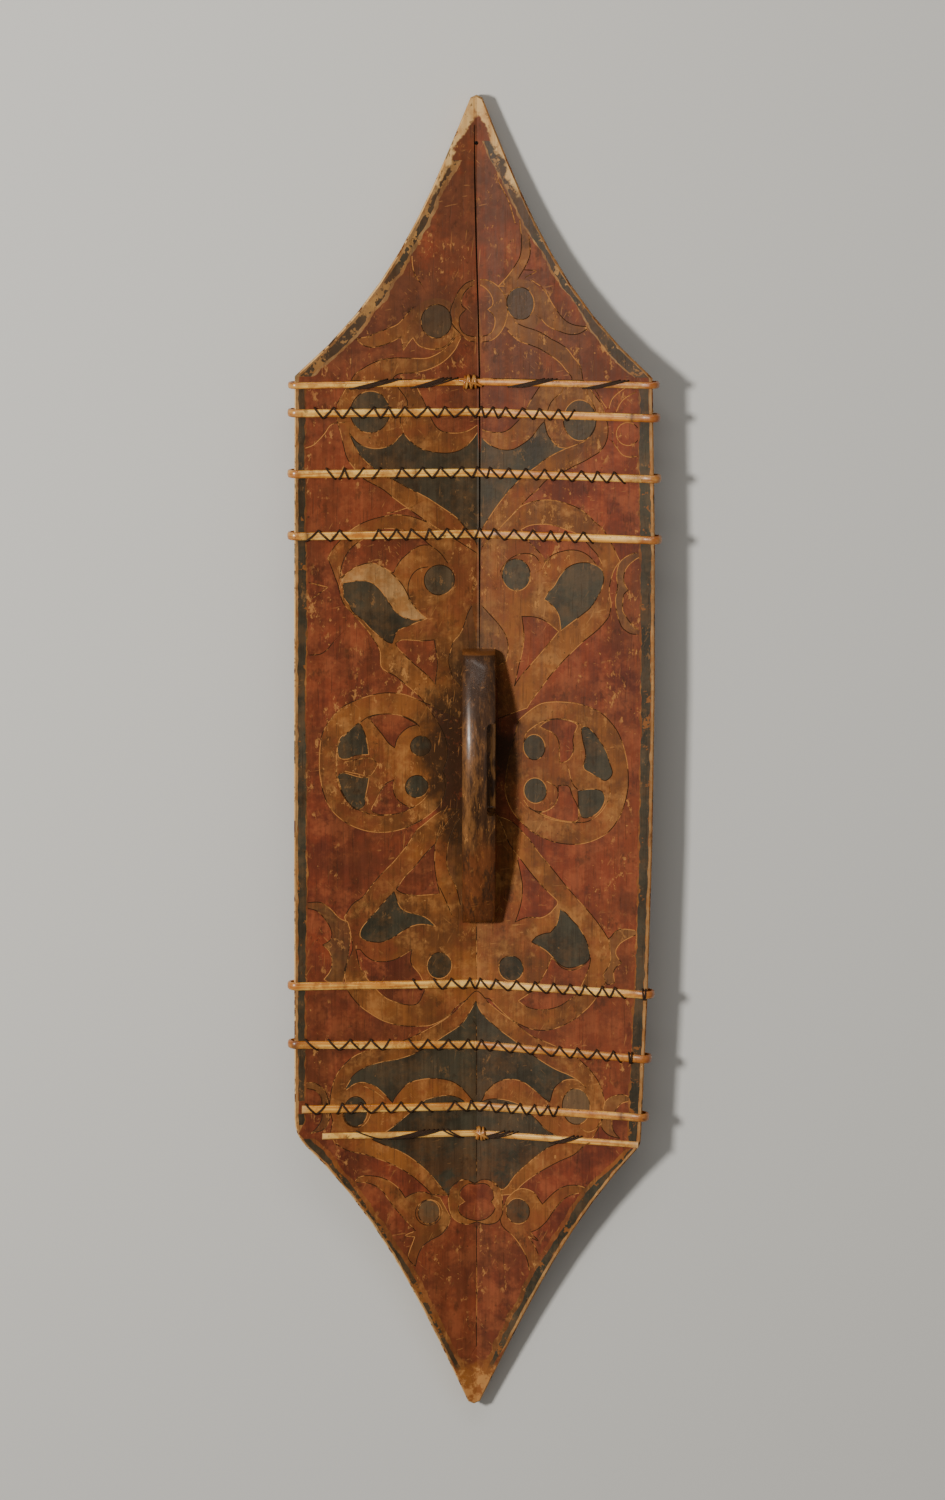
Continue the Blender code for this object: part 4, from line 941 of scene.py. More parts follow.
def inside(points, outline):
    """Which of the points lie inside a closed outline."""
    ax, ay = outline[:, 0], outline[:, 1]
    bx, by = np.roll(ax, -1), np.roll(ay, -1)
    found = np.zeros(len(points), bool)
    low, high = outline.min(0), outline.max(0)
    near = ((points >= low) & (points <= high)).all(1)
    if near.any():
        x, y = points[near, 0:1], points[near, 1:2]
        crosses = (ay > y) != (by > y)
        with np.errstate(divide="ignore", invalid="ignore"):
            at = ax + (y - ay) * (bx - ax) / (by - ay)
        found[near] = (crosses & (x < at)).sum(1) % 2 == 1
    return found


def distance_to(points, starts, ends, reach=5.0):
    """Distance of each point to the nearest of the segments, or reach where none is nearer than that."""
    best = np.full(len(points), reach)
    low = np.minimum(starts[:, 1], ends[:, 1]) - reach
    high = np.maximum(starts[:, 1], ends[:, 1]) + reach
    order = np.argsort(points[:, 1])
    for first in range(0, len(points), 200):
        rows = order[first:first + 200]
        near = (low <= points[rows[-1], 1]) & (high >= points[rows[0], 1])
        if near.any():
            origin, span = starts[near], (ends - starts)[near]
            length = np.maximum((span ** 2).sum(1), 1e-9)
            p = points[rows][:, None, :]
            t = np.clip(((p - origin) * span).sum(2) / length, 0, 1)
            gap = p - (origin + t[..., None] * span)
            best[rows] = np.minimum(reach, np.sqrt((gap ** 2).sum(2)).min(1))
    return best


def wobble(x, y, seed, size=9.0):
    return noise.noise(Vector((x / size, y / size, seed)))


def strip_outline(side, inset, inner, rim_x, seed, rough):
    """A border strip: its ragged inner edge, and its outer edge a little inside the rim."""
    inner = smooth_stroke(inner)
    edge = [(p.x + rough * (wobble(p.x, p.y, seed) + 0.55 * wobble(p.x, p.y, seed, 2.5)), p.y)
            for p in inner]
    outer = []
    for p in inner[::-1]:
        x = rim_x(side, p.y) - side * (inset + 1.3 * wobble(p.x, p.y, seed + 7))
        outer.append((max(x, p.x + 0.6) if side > 0 else min(x, p.x - 0.6), p.y))
    return np.array(edge + outer)


def carve_face(work, faces, height, fields, strips, slope):
    """Replaces flat faces of the board by the same surface with incised lines and painted fields.

    The rim and holes of the old faces are kept, so that the new faces weld to what is round them.
    """
    face_set = set(faces)
    bounds, ridge = [], []
    for edge in {e for f in faces for e in f.edges}:
        kept = sum(1 for f in edge.link_faces if f in face_set)
        if kept == 1:
            bounds.append(edge)
        elif abs(edge.calc_face_angle(0.0)) > 0.05:
            ridge.append(edge)
    triangles = np.array([[(loop.vert.co.x, loop.vert.co.y) for loop in tri]
                          for tri in work.calc_loop_triangles() if tri[0].face in face_set])
    rim = dict.fromkeys(v for edge in bounds for v in edge.verts)

    neighbours = {}
    for edge in bounds:
        a, b = edge.verts
        neighbours.setdefault(a, []).append(b)
        neighbours.setdefault(b, []).append(a)
    reached, waiting = set(), [min(rim, key=lambda v: v.co.x)]
    while waiting:
        vert = waiting.pop()
        if vert not in reached:
            reached.add(vert)
            waiting += neighbours[vert]
    outer_rim = sorted(((v.co.y - ORIGIN.y) * 1000, (v.co.x - ORIGIN.x) * 1000) for v in reached)
    side_rim = {side: [p for p in outer_rim if p[1] * side > 0.5] for side in (-1, 1)}

    def rim_x(side, y):
        return float(np.interp(y, [p[0] for p in side_rim[side]], [p[1] for p in side_rim[side]]))

    points, index_of, edges = [], {}, []

    def add_point(x, y):
        points.append((x, y))
        return len(points) - 1

    for v in rim:
        index_of[v] = add_point((v.co.x - ORIGIN.x) * 1000, (v.co.y - ORIGIN.y) * 1000)
    for edge in bounds:
        edges.append(tuple(index_of[v] for v in edge.verts))
    for edge in ridge:
        for v in edge.verts:
            if v not in index_of:
                index_of[v] = add_point((v.co.x - ORIGIN.x) * 1000, (v.co.y - ORIGIN.y) * 1000)
        edges.append(tuple(index_of[v] for v in edge.verts))
    rim_starts = np.array([points[a] for a, b in edges[:len(bounds)]])
    rim_ends = np.array([points[b] for a, b in edges[:len(bounds)]])
    old = (triangles - np.array([ORIGIN.x, ORIGIN.y])) * 1000

    corner, side_b, side_c = old[:, 0], old[:, 1] - old[:, 0], old[:, 2] - old[:, 0]
    size = side_b[:, 0] * side_c[:, 1] - side_b[:, 1] * side_c[:, 0]

    def in_domain(where):
        found = np.zeros(len(where), bool)
        for first in range(0, len(where), 2000):
            dx = where[first:first + 2000, 0:1] - corner[:, 0]
            dy = where[first:first + 2000, 1:2] - corner[:, 1]
            u = (side_b[:, 0] * dy - side_b[:, 1] * dx) / size
            v = (dx * side_c[:, 1] - dy * side_c[:, 0]) / size
            found[first:first + 2000] = ((u >= -1e-6) & (v >= -1e-6) & (u + v <= 1 + 1e-6)).any(1)
        return found

    outlines = []
    for paint, cut, *strokes in fields:
        outlines.append((paint, cut, None if paint == "line" else closed_outline(strokes),
                         [smooth_stroke(s) for s in strokes]))
    borders = []
    for number, (side, inset, worn, inner) in enumerate(strips):
        if worn:
            shifted = [(x - side * worn, y) for x, y in inner]
            tone = "pale" if worn > 1.4 and inner[0][1] > 0 else "ochre"
            borders.append((tone, strip_outline(side, inset, shifted, rim_x, 23.0 + number, 2.0)))
        borders.append(("black", strip_outline(side, inset, inner, rim_x, 3.0 + number, 1.4)))

    centre_starts, centre_ends = [], []

    def add_run(run, close_to=PAINT_CLEAR):
        """Adds a line as edges, in stretches that stay inside the face."""
        if len(run) < 2:
            return
        where = np.array(run)
        good = in_domain(where) & (distance_to(where, rim_starts, rim_ends) > close_to)
        last = None
        for (x, y), ok in zip(run, good):
            if ok:
                now = add_point(x, y)
                if last is not None:
                    edges.append((last, now))
                last = now
            else:
                last = None

    for number, (paint, cut, outline, runs) in enumerate(outlines):
        for run in runs:
            where = np.array([tuple(p) for p in run])
            shown = np.ones(len(where), bool)
            for later in outlines[number + 1:]:
                if later[2] is not None:
                    covered = inside(where, later[2])
                    if covered.any():
                        near = distance_to(where, later[2], np.roll(later[2], -1, 0)) < LINE_CLEAR
                        shown &= ~(covered & ~near)
            if cut:
                for _, outline_b in borders:
                    shown &= ~inside(where, outline_b)
            start = 0
            while start < len(where):
                if not shown[start]:
                    start += 1
                    continue
                stop = start
                while stop + 1 < len(where) and shown[stop + 1]:
                    stop += 1
                stretch = where[start:stop + 1]
                if len(stretch) > 1:
                    if cut:
                        clear = distance_to(stretch, rim_starts, rim_ends) > LINE_CLEAR
                        good = in_domain(stretch) & clear
                        for a, b, ok_a, ok_b in zip(stretch, stretch[1:], good, good[1:]):
                            if ok_a and ok_b:
                                centre_starts.append(a)
                                centre_ends.append(b)
                        tangent = np.gradient(stretch, axis=0)
                        tangent /= np.maximum(np.linalg.norm(tangent, axis=1, keepdims=True), 1e-9)
                        normal = np.stack((-tangent[:, 1], tangent[:, 0]), 1)
                        add_run([tuple(p) for p in stretch], LINE_CLEAR)
                        add_run([tuple(p) for p in stretch + normal * GROOVE_HALF], SIDE_CLEAR)
                        add_run([tuple(p) for p in stretch - normal * GROOVE_HALF], SIDE_CLEAR)
                    else:
                        add_run([tuple(p) for p in stretch])
                start = stop + 1
    for _, outline in borders:
        add_run([tuple(p) for p in outline] + [tuple(outline[0])], BORDER_CLEAR)

    flat, _, made_faces, source, _, _ = geometry.delaunay_2d_cdt(
        [Vector(p) for p in points], edges, [], 0, 0.00002)
    coords = np.array([tuple(p) for p in flat])
    made_faces = np.array(made_faces)
    centres = coords[made_faces].mean(1)
    made_faces = made_faces[in_domain(centres)]
    centres = coords[made_faces].mean(1)

    centre_starts, centre_ends = np.array(centre_starts), np.array(centre_ends)
    gap = distance_to(coords, centre_starts, centre_ends)
    depth = GROOVE_DEPTH * np.clip(1 - gap / GROOVE_HALF, 0, 1)
    middle_gap = distance_to(centres, centre_starts, centre_ends)

    shade = np.zeros((len(made_faces), 4))
    for paint, cut, outline, _ in outlines:
        if outline is not None:
            shade[inside(centres, outline), :3] = PAINTS[paint]
    rim_gap = distance_to(centres, rim_starts, rim_ends)
    right_slope = (centres[:, 0] > 0) & (centres[:, 1] > SLOPE_START)
    rim_width = np.where(right_slope, NARROW_RIM, PALE_RIM)
    shade[(rim_gap < rim_width) & (np.abs(centres[:, 0]) > TIP_HALF), :3] = PAINTS["pale"]
    strip = np.zeros(len(made_faces))
    for paint, outline in borders:
        found = inside(centres, outline)
        shade[found, :3] = PAINTS[paint]
        strip[found] = STRIP_MARK if paint == "black" else 0.0
    shade[:, 3] = middle_gap < GROOVE_HALF * 0.72

    rim_vert = {i: v for v, i in index_of.items() if v in rim}
    verts = []
    for number, (x, y) in enumerate(coords):
        kept = next((rim_vert[i] for i in source[number] if i in rim_vert), None)
        if kept is None:
            z = height(x / 1000) - slope * depth[number] / 1000
            kept = work.verts.new((x / 1000 + ORIGIN.x, y / 1000 + ORIGIN.y, z + ORIGIN.z))
        verts.append(kept)
    bmesh.ops.delete(work, geom=faces, context="FACES_ONLY")
    paint_layer = work.loops.layers.float_color["paint"]
    place_layer = work.loops.layers.float_color["place"]
    for tri, tone, edge_mark in zip(made_faces, shade, strip):
        corners = [verts[i] for i in (tri if slope > 0 else tri[::-1])]
        try:
            face = work.faces.new(corners)
        except ValueError:
            continue
        face.smooth = False
        for loop in face.loops:
            loop[paint_layer] = (tone[0], tone[1], tone[3], tone[2])
            loop[place_layer] = (0.0, edge_mark, 0.0 if slope > 0 else 1.0, 1.0)


def near_surface(face, height, sign):
    if face.normal.z * sign < 0.9:
        return False
    return all(abs(v.co.z - ORIGIN.z - height(v.co.x - ORIGIN.x)) < 0.00003 for v in face.verts)


OUTER_FIELDS = [
    ("black", 1, ((0, 560), (40, 480), (60, 400), (0, 330)), ((0, 330), (-60, 400), (-40, 480), (0, 560))),
    ("red", 1, ((0, 520), (24, 460), (36, 405), (0, 360)), ((0, 360), (-36, 405), (-24, 460), (0, 520))),
    ("black", 1, ((0, -560), (-40, -480), (-60, -400), (0, -330)), ((0, -330), (60, -400), (40, -480),
     (0, -560))),
    ("red", 1, ((0, -520), (-24, -460), (-36, -405), (0, -360)), ((0, -360), (36, -405), (24, -460),
     (0, -520))),
    ("ochre", 1, ((0, 190), (80, 150), (125, 60), (125, -60), (80, -150), (0, -190)), ((0, -190),
     (-80, -150), (-125, -60), (-125, 60), (-80, 150), (0, 190))),
    ("black", 1, ((0, 160), (60, 120), (95, 50), (95, -50), (60, -120), (0, -160)), ((0, -160), (-60, -120),
     (-95, -50), (-95, 50), (-60, 120), (0, 160))),
    ("red", 1, ((0, 130), (50, 90), (70, 0), (50, -90), (0, -130)), ((0, -130), (-50, -90), (-70, 0),
     (-50, 90), (0, 130))),
    ("black", 1, oval(0, 0, 26, 40)),
]


# the grip in millimetres across X and along Y, the places where its back is faceted, how far each place
# is lowered, and the stretch at its upper end that is moved up
GRIP_LOW, GRIP_HIGH = Vector((-14.6, -156.5)), Vector((18.4, 112.4))
GRIP_CROWN = ((-14.2, 4.6), (-10.5, 1.7), (-6.0, 0.3), (1.5, 0.0), (6.0, 0.5), (10.5, 1.5), (14.5, 3.2),
              (17.8, 5.6))
GRIP_BACK_LINE = -0.0135
GRIP_TOP_STRETCH = (0.1050, 0.1105)
GRIP_TOP_SHIFT = 0.0020


def on_grip(place):
    x, y, z = (place - ORIGIN) * 1000
    above = z > inner_height(x / 1000) * 1000 + 0.2
    return GRIP_LOW.x < x < GRIP_HIGH.x and GRIP_LOW.y < y < GRIP_HIGH.y and above


def crown_grip(work):
    """Cuts the grip's back into facets along it and lowers its two sides, as a knife leaves them."""
    for x, _ in GRIP_CROWN[1:-1]:
        faces = [f for f in work.faces if on_grip(f.calc_center_median())]
        edges = {e for f in faces for e in f.edges}
        verts = {v for f in faces for v in f.verts}
        bmesh.ops.bisect_plane(work, geom=list(verts) + list(edges) + faces, dist=0.00001,
                               plane_co=(ORIGIN.x + x / 1000, 0, 0), plane_no=(1, 0, 0))
    verts = {v for f in work.faces if on_grip(f.calc_center_median()) for v in f.verts}
    back = sorted((v.co.y, v.co.z) for v in verts if abs(v.co.x - ORIGIN.x - GRIP_BACK_LINE) < 0.0002)
    high = {}
    for y, z in back:
        high[round(y, 4)] = max(z, high.get(round(y, 4), 0.0))
    places = sorted(high)
    for vert in verts:
        x = (vert.co.x - ORIGIN.x) * 1000
        top = float(np.interp(vert.co.y, places, [high[y] for y in places]))
        if vert.co.z > top - 0.0018 and vert.co.z - ORIGIN.z > 0.028:
            drop = float(np.interp(x, [p[0] for p in GRIP_CROWN], [p[1] for p in GRIP_CROWN]))
            vert.co.z -= drop / 1000 * min(1.0, (vert.co.z - ORIGIN.z - 0.026) / 0.008)
    for vert in verts:
        if GRIP_TOP_STRETCH[0] < vert.co.y - ORIGIN.y < GRIP_TOP_STRETCH[1]:
            vert.co.y += GRIP_TOP_SHIFT


def make_board():
    work = bmesh.new()
    work.from_mesh(board_node.data)
    bmesh.ops.remove_doubles(work, verts=work.verts, dist=0.000002)
    crown_grip(work)
    work.normal_update()
    for face in work.faces:
        face.smooth = True
    paint_layer = work.loops.layers.float_color.new("paint")
    place_layer = work.loops.layers.float_color.new("place")
    for face in work.faces:
        middle = face.calc_center_median() - ORIGIN
        gripped = on_grip(face.calc_center_median())
        # painted shade: the walls of the deep crack down the valley above the grip are painted black
        in_shaded_crack = abs(middle.x) < 0.005 and 0.105 < middle.y < 0.615 and 0.004 < middle.z < 0.0159
        for loop in face.loops:
            loop[paint_layer] = (1.0 if in_shaded_crack else 0.0, 0.0, 0.0, 0.0)
            loop[place_layer] = (1.0 if gripped else 0.0, 0.0 if gripped or in_shaded_crack else 1.0, 0.0, 1.0)
    inner = [f for f in work.faces if near_surface(f, inner_height, 1)]
    borders = [(-1, 2.6, 1.2, BORDERS[0]), (-1, 2.6, 1.0, BORDERS[1]), (1, 2.6, 1.2, BORDERS[2])]
    carve_face(work, inner, inner_height, FIELDS, borders + SLOPE_STRIPS, 1.0)
    outer = [f for f in work.faces if near_surface(f, outer_height, -1)]
    carve_face(work, outer, outer_height, OUTER_FIELDS, borders + SLOPE_STRIPS, -1.0)
    mesh = bpy.data.meshes.new("shield_board")
    rounded = [face.smooth for face in work.faces]
    work.to_mesh(mesh)
    work.free()
    mesh.set_sharp_from_angle(angle=math.radians(28))
    mesh.polygons.foreach_set("use_smooth", rounded)
    board = bpy.data.objects.new("shield_board", mesh)
    bpy.context.scene.collection.objects.link(board)
    mesh.materials.append(WOOD)
    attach(board, "root")
    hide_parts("board")


make_board()

# rattan bands
BAND_WIDTH, BAND_THICKNESS = 0.008, 0.0036
NARROW_WIDTH, NARROW_THICKNESS = 0.0065, 0.0032
CANE_SIDES = 16
STEP_ALONG = 0.004
BEND_STEPS = 10
THREAD_RADIUS = 0.00092
BUNDLE_RADIUS = 0.00082


class Band:
    """A rattan band: its size, and the straight line that it follows across the board."""

    def __init__(self, number, width, thickness, left_y, right_y, ends=None):
        self.number, self.width, self.thickness = number, width, thickness
        self.left, self.right = half_width(-1, left_y), half_width(1, right_y)
        self.turn = math.atan2(right_y - left_y, self.left + self.right)
        self.middle_y = left_y + math.tan(self.turn) * self.left
        self.ends = ends

    def along(self, x):
        return self.middle_y + math.tan(self.turn) * x

    def edge_bend(self, side, half):
        """The bend round one edge, from the inner face to the outer face, as (x, z)."""
        centre_x = half - EDGE_BEND_INSET
        middle_z = (inner_height(half) + outer_height(half)) / 2
        half_edge = (inner_height(half) - outer_height(half)) / 2
        radius = math.hypot(EDGE_BEND_INSET, half_edge) + EDGE_BEND_CLEARANCE
        start = math.pi / 2 + math.atan(INNER_SLOPE)
        end = -math.pi / 2 + math.atan(OUTER_SLOPE)
        angles = [start + (end - start) * i / BEND_STEPS for i in range(BEND_STEPS + 1)]
        return [(side * (centre_x + radius * math.cos(a)), middle_z + radius * math.sin(a)) for a in angles]

    def path(self):
        """The line that the cane's flat side follows, as (x, z), and whether it closes."""
        lift = GAP * math.hypot(1.0, INNER_SLOPE)
        drop = GAP * math.hypot(1.0, OUTER_SLOPE)

        def run(side, half):
            off = half - EDGE_RUN_OFF
            return ([(side * off, inner_height(off) + lift)] + self.edge_bend(side, half)
                    + [(side * off, outer_height(off) - drop), (side * RIDGE_FLAT / 2, -GAP)])
        valley = (0.0, inner_height(0.0) + lift)
        if self.ends is None:
            return [valley] + run(1, self.right) + run(-1, self.left)[::-1], True
        kind, left_end, right_end = self.ends
        if kind == "broken":
            return ([(-left_end, inner_height(left_end) + lift), valley] + run(1, self.right)
                    + [(-RIDGE_FLAT / 2, -GAP), (-left_end, outer_height(left_end) - drop)]), False
        return [(-left_end, inner_height(left_end) + lift), valley,
                (right_end, inner_height(right_end) + lift)], False


BANDS = {
    1: Band(1, NARROW_WIDTH, NARROW_THICKNESS, 0.3687, 0.3688),
    2: Band(2, BAND_WIDTH, BAND_THICKNESS, 0.3425, 0.3375),
    3: Band(3, BAND_WIDTH, BAND_THICKNESS, 0.2845, 0.2795),
    4: Band(4, BAND_WIDTH, BAND_THICKNESS, 0.2250, 0.2210),
    5: Band(5, BAND_WIDTH, BAND_THICKNESS, -0.2135, -0.2225),
    6: Band(6, BAND_WIDTH, BAND_THICKNESS, -0.2715, -0.2865),
    7: Band(7, BAND_WIDTH, BAND_THICKNESS, -0.3360, -0.3450, ("broken", 0.1700, 0.0)),
    8: Band(8, NARROW_WIDTH, NARROW_THICKNESS, -0.3632, -0.3723, ("cut", 0.1505, 0.1570)),
}
# joints of the cane: band, place across X on the grip side
JOINTS = ((1, 0.128), (2, -0.120), (3, 0.151), (4, 0.020), (5, -0.128), (5, 0.080), (6, -0.176), (7, 0.141),
          (1, -0.131), (8, -0.1405), (8, 0.139), (3, -0.060), (2, 0.147), (6, 0.100), (4, -0.162))


def even_path(points, closed):
    """The path with its straight stretches cut into even steps."""
    made = []
    pairs = list(zip(points, points[1:] + points[:1])) if closed else list(zip(points, points[1:]))
    for (ax, az), (bx, bz) in pairs:
        steps = max(1, round(math.hypot(bx - ax, bz - az) / STEP_ALONG))
        made += [(ax + (bx - ax) * i / steps, az + (bz - az) * i / steps) for i in range(steps)]
    if not closed:
        made.append(points[-1])
    return made


def split_cane_section(count):
    """A split cane's section: (across, out) of each corner, as shares of its half width and thickness."""
    corners = []
    for i in range(count):
        angle = 2 * math.pi * i / count
        across = math.sin(angle)
        up = math.cos(angle)
        if up > -0.2:
            out = 0.10 + 0.90 * ((up + 0.2) / 1.2) ** 0.62
        else:
            out = 0.06 + 0.02 * up
            across *= 1.45 * abs(across) ** 0.2 if abs(across) < 0.9 else 1.0
        corners.append((max(-1.0, min(1.0, across)), out))
    return corners


def sweep(work, rings, closed, runs, marks=None):
    """Extrudes a first ring of points through the others. rings holds a list of places for each step."""
    run_layer = work.verts.layers.float_vector["run"]
    mark_layer = work.verts.layers.float_color.get("marks")
    first = bmesh.ops.create_circle(work, segments=len(rings[0]), radius=0.001, cap_ends=False)["verts"]

    def set_ring(verts, number):
        for vert, place, run in zip(verts, rings[number], runs[number]):
            vert.co = place
            vert[run_layer] = run
            if marks is not None:
                vert[mark_layer] = marks[number]

    set_ring(first, 0)
    ring = first
    loop_edges = [work.edges.get((a, b)) for a, b in zip(ring, ring[1:] + ring[:1])]
    first_edges = loop_edges
    for number in range(1, len(rings)):
        grown = bmesh.ops.extrude_edge_only(work, edges=loop_edges)["geom"]
        new = {e for e in grown if isinstance(e, bmesh.types.BMVert)}
        after = []
        for vert in ring:
            after.append(next(e.other_vert(vert) for e in vert.link_edges if e.other_vert(vert) in new))
        ring = after
        set_ring(ring, number)
        loop_edges = [work.edges.get((a, b)) for a, b in zip(ring, ring[1:] + ring[:1])]
    if closed:
        bmesh.ops.bridge_loops(work, edges=first_edges + loop_edges)
    else:
        bmesh.ops.contextual_create(work, geom=first_edges)
        bmesh.ops.contextual_create(work, geom=loop_edges)


def new_work():
    work = bmesh.new()
    work.verts.layers.float_vector.new("run")
    work.verts.layers.float_color.new("marks")
    return work


def as_piece(work, name, finish, replaced):
    bmesh.ops.recalc_face_normals(work, faces=work.faces)
    mesh = bpy.data.meshes.new(name)
    work.to_mesh(mesh)
    work.free()
    mesh.shade_smooth()
    mesh.set_sharp_from_angle(angle=math.radians(50))
    mesh.materials.append(finish)
    made = bpy.data.objects.new(name, mesh)
    bpy.context.scene.collection.objects.link(made)
    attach(made, "root")
    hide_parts(*replaced)


def make_cane(band):
    """A band as a split cane that follows the board, with joints, worn patches and uneven width."""
    points, closed = band.path()
    path = even_path(points, closed)
    section = split_cane_section(CANE_SIDES)
    ahead = Vector((math.cos(band.turn), math.sin(band.turn), 0.0))
    across = Vector((-math.sin(band.turn), math.cos(band.turn), 0.0))
    rings, runs, marks = [], [], []
    length = 0.0
    last = len(path) - 1
    for number, (x, z) in enumerate(path):
        before = path[number - 1] if number or closed else path[0]
        after = path[(number + 1) % len(path)] if number < last or closed else path[last]
        tangent = Vector((after[0] - before[0], after[1] - before[1])).normalized()
        out = ahead * -tangent.y + Vector((0, 0, 1)) * tangent.x
        if number:
            length += math.hypot(x - path[number - 1][0], z - path[number - 1][1])
        seed = Vector((length * 28.0, band.number * 5.0, 0.0))
        wide = band.width / 2 * (1.0 + 0.035 * noise.noise(seed) - 0.03)
        thick = band.thickness * (0.95 + 0.04 * noise.noise(seed + Vector((0, 0, 9.0))))
        joint = 0.0
        if z > outer_height(x) + 0.006:
            for owner, joint_x in JOINTS:
                if owner == band.number:
                    joint = max(joint, math.exp(-((x - joint_x) / 0.0016) ** 2))
        wide *= 1.0 + 0.02 * joint
        thick *= 0.97 + 0.03 * joint
        frayed = 0.0
        if not closed:
            end_gap = min(number, last - number)
            frayed = 1.0 if end_gap == 0 else 0.4 if end_gap == 1 else 0.0
        middle = ahead * x + Vector((0.0, band.middle_y, z)) + ORIGIN
        ring, run = [], []
        for share, high in section:
            ring.append(middle + across * (share * wide) + out * (high * thick))
            run.append((share * wide + band.number * 0.05, length, high * thick))
        rings.append(ring)
        runs.append(run)
        half = band.left if x < 0 else band.right
        turned = max(0.0, min(1.0, (abs(x) - half + 0.010) / 0.008))
        marks.append((joint, frayed, turned, 1.0))
    work = new_work()
    sweep(work, rings, closed, runs, marks)
    return work


KNOT_MARKS = (0.12, 0.0, 0.9, 1.0)
# each turn of a knot: its place along the knot, its slant and its size
KNOT_TURNS = ((-0.33, 0.10, 0.94), (-0.20, 0.16, 1.0), (-0.04, -0.22, 1.08), (0.10, 0.20, 1.0),
              (0.25, -0.12, 0.96))
# the tucked end: places along, across and above, as shares of the knot's length, breadth and height
KNOT_TUCK = ((-0.62, 0.16, 0.50), (-0.3, 0.10, 0.95), (0.05, -0.02, 1.08), (0.35, -0.16, 0.92),
             (0.60, -0.34, 0.40))


def add_knot(work, band, x, length, breadth, height):
    """A knot: split cane wound over the band five times on the slant, with its end tucked along it."""
    for shift, lean, size in KNOT_TURNS:
        places = []
        for step in range(9):
            angle = math.pi * step / 8
            across = -math.cos(angle) * breadth / 2 * size
            along = shift * length + lean * across
            lift = max(0.0, math.sin(angle)) ** 0.7 * height * size - 0.0004
            places.append(thread_places(band, x + along, across, lift))
        add_thread(work, places, 0.00122, band.number + shift, 9, KNOT_MARKS)
    tuck = [thread_places(band, x + length * a, b * breadth, c * height) for a, b, c in KNOT_TUCK]
    add_thread(work, tuck, 0.00115, band.number + 5.0, 9, KNOT_MARKS)


def thread_places(band, x, offset, height):
    return Vector((x, band.along(x) + offset, inner_height(x) + height)) + ORIGIN


def add_thread(work, places, radius, seed, sides=7, mark=None):
    """A thread along smooth places, with uneven thickness and twist."""
    fine = []
    ends = [places[0]] + places + [places[-1]]
    for a, b, c, d in zip(ends, ends[1:], ends[2:], ends[3:]):
        steps = max(1, round((c - b).length / 0.0011))
        for i in range(steps):
            fine.append(spline_point(a, b, c, d, i / steps))
    fine.append(places[-1])
    rings, runs = [], []
    length = 0.0
    side = Vector((0, 0, 1))
    for number, place in enumerate(fine):
        tangent = (fine[min(number + 1, len(fine) - 1)] - fine[max(number - 1, 0)]).normalized()
        side = (side - tangent * side.dot(tangent)).normalized()
        other = tangent.cross(side)
        if number:
            length += (place - fine[number - 1]).length
        size = radius * (1.0 + 0.14 * noise.noise(Vector((length * 260.0, seed, 0.0))))
        ring, run = [], []
        for i in range(sides):
            angle = 2 * math.pi * i / sides
            offset = side * (size * math.cos(angle)) + other * (size * math.sin(angle))
            ring.append(place + offset)
            run.append((size * math.cos(angle) + seed, length + size * math.sin(angle), 0.0))
        rings.append(ring)
        runs.append(run)
    sweep(work, rings, False, runs, [mark] * len(rings) if mark else None)


# stitches of each band: places across X in millimetres where the thread goes into the board above the band
# (positive side, T) and below it (negative side, B); a tuple is one unbroken thread
STITCHES = {
    2: (("T", -154, -146, -136, -128, -120, -109, -98, -92, -84, -78, -69, -58, -47, -38, -31, -22, -10,
        -2, 4, 7, 15, 20, 27, 35, 43, 53, 59, 69, 77, 85, 92),),
    3: (("T", -143, -135), ("B", -131, -126, -122), ("T", -108, -117), ("T", -92, -100), ("B", -78, -72,
        -62, -52, -43, -35, -25, -15, -5, 0, 9, 12, 22, 30, 38, 46, 56, 64, 72, 80, 90, 99, 109, 114, 123,
        130, 140)),
    4: (("B", -163, -151, -140, -131, -121), ("B", -100, -94, -85, -77, -68, -63, -50, -46, -38, -29, -20,
        -12, -3, 2, 10, 16, 26, 35, 45, 53, 63, 70, 77, 84, 93, 101, 110)),
    5: (("T", -62, -55), ("T", -42, -34, -25, -14, -7, -2, 3, 12, 18, 30, 38, 50, 56, 67, 74, 83, 90, 99,
        104, 115, 121, 128, 133, 143), ("T", 160, 161), ("B", 162, 163)),
    6: (("T", -166, -155), ("T", -144, -134, -123, -113, -103, -92, -85), ("T", -66, -57, -48, -38, -28,
        -18, -9, -2, 4, 12, 20, 32, 40, 52, 60, 72, 80, 90, 97, 107, 116, 125, 132, 139), ("T", 147, 148),
        ("B", 149, 150)),
    7: (("T", -166, -156, -146), ("B", -136, -131, -123, -113, -103, -92, -84, -74, -65, -54, -44), ("B",
        -30, -22, -10, -6, 2, 12, 18, 28, 33, 42, 48, 56, 61, 69, 74, 79)),
}
# bundles over the narrow bands: band, first and last place across X in millimetres, threads, rising (1)
# or falling (-1), and the solid that each stands for
BUNDLES = (
    (1, -115, -78, 4, 1, "bundle_1_1"),
    (1, -56, -26, 4, 1, "bundle_1_2"),
    (1, 36, 70, 4, 1, "bundle_1_3"),
    (1, 105, 139, 3, 1, "bundle_1_4"),
    (8, -117, -94, 1, -1, "bundle_8_5"),
    (8, -80, -42, 5, 1, "bundle_8_6"),
    (8, -31, -15, 2, -1, "bundle_8_7"),
    (8, 8, 33, 4, 1, "bundle_8_8"),
    (8, 75, 98, 3, 1, "bundle_8_9"),
)


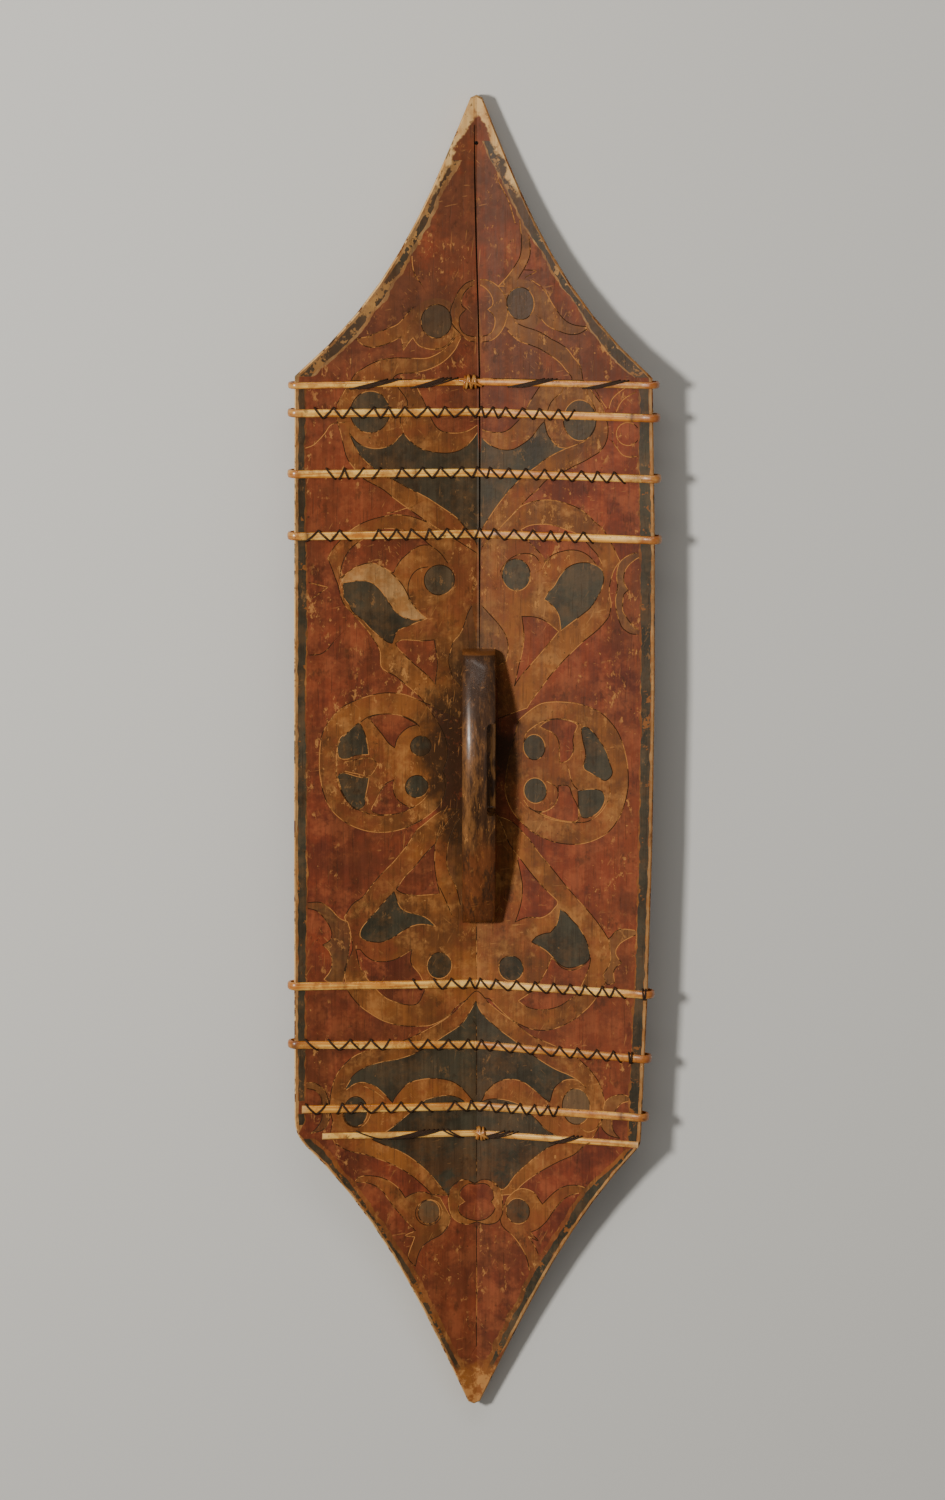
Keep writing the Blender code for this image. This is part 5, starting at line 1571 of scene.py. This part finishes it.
def stitch(band, x_from, x_to, side, radius):
    """The thread's places from a hole on one side of the band, over it, towards the other side."""
    beside = band.width / 2 + 1.2 * radius
    shoulder = 0.36 * band.width
    over = GAP * 2 + band.thickness + 0.55 * radius
    flank = GAP * 2 + band.thickness * 0.72 + 0.5 * radius
    made = []
    for offset, high in ((beside, -0.0006), (beside * 0.97, 0.0011), (shoulder, flank), (0.0, over),
                         (-shoulder, flank), (-beside * 0.97, 0.0011)):
        share = 0.5 - 0.5 * offset / beside
        x = x_from + (x_to - x_from) * share
        made.append(thread_places(band, x, side * offset, high))
    return made, thread_places(band, x_to, -side * beside, -0.0006)


def make_lacing(number):
    """The stitches over one band, where they are still there."""
    band = BANDS[number]
    work = new_work()
    for count, (first_side, *places) in enumerate(STITCHES[number]):
        side = 1 if first_side == "T" else -1
        route = []
        end = None
        for x_from, x_to in zip(places, places[1:]):
            made, end = stitch(band, x_from / 1000, x_to / 1000, side, THREAD_RADIUS)
            route += made
            side = -side
        route.append(end)
        add_thread(work, route, THREAD_RADIUS, number + count * 0.3)
    return work


def make_bundle(number, first, last, threads, rise):
    """Fibres side by side that cross a narrow band on the slant."""
    band = BANDS[number]
    work = new_work()
    spread = random.Random(number * 100 + first)
    for count in range(threads):
        shift = (count - (threads - 1) / 2) * 1.7 * BUNDLE_RADIUS / math.sin(0.33)
        a = first / 1000 + shift + spread.uniform(-0.001, 0.001)
        b = last / 1000 + shift + spread.uniform(-0.001, 0.001)
        made, end = stitch(band, a, b, -rise, BUNDLE_RADIUS)
        add_thread(work, made + [end], BUNDLE_RADIUS * spread.uniform(0.85, 1.1), number + count * 0.37)
    return work


def dress():
    knots = {1: (-0.0060, 0.0170, 0.0115, 0.0058), 8: (0.0040, 0.0110, 0.0115, 0.0058)}
    for number, band in BANDS.items():
        work = make_cane(band)
        if number in knots:
            add_knot(work, band, *knots[number])
        as_piece(work, "cane_band_%d" % number, RATTAN, ("rattan_band_%d" % number,))
    for number in STITCHES:
        as_piece(make_lacing(number), "stitches_%d" % number, FIBRE, ("lacing_%d" % number,))
    for number, first, last, threads, rise, replaced in BUNDLES:
        bundle = make_bundle(number, first, last, threads, rise)
        as_piece(bundle, "fibre_%s" % replaced, FIBRE, (replaced,))


dress()

# floor and light
floor_mesh = bpy.data.meshes.new("floor")
floor_work = bmesh.new()
bmesh.ops.create_grid(floor_work, x_segments=1, y_segments=1, size=8.0)
bmesh.ops.translate(floor_work, verts=floor_work.verts, vec=(0, 0, -0.0005))
floor_work.to_mesh(floor_mesh)
floor_work.free()
floor = bpy.data.objects.new("floor", floor_mesh)
bpy.context.scene.collection.objects.link(floor)
floor_material, floor_tree, floor_shader = new_material("pale_floor")
floor_shader.inputs["Base Color"].default_value = (0.62, 0.62, 0.60, 1.0)
floor_shader.inputs["Roughness"].default_value = 0.85
floor_mesh.materials.append(floor_material)

make_light("key", (-1.95, 0.70, 3.0), (0, 0, 0.03), (0.42, 0.42), 126.0, (1.0, 0.96, 0.90))
make_light("fill", (2.6, -0.2, 2.2), (0, 0, 0.03), (2.2, 2.2), 5.0, (1.0, 0.95, 0.88))
make_light("top", (0.0, 2.6, 2.2), (0, 0.1, 0.03), (2.4, 0.6), 20.0, (1.0, 0.96, 0.90))
world = bpy.data.worlds.new("studio")
world.use_nodes = True
world.node_tree.nodes["Background"].inputs[0].default_value = (0.98, 0.94, 0.88, 1.0)
world.node_tree.nodes["Background"].inputs[1].default_value = 0.21
bpy.context.scene.world = world
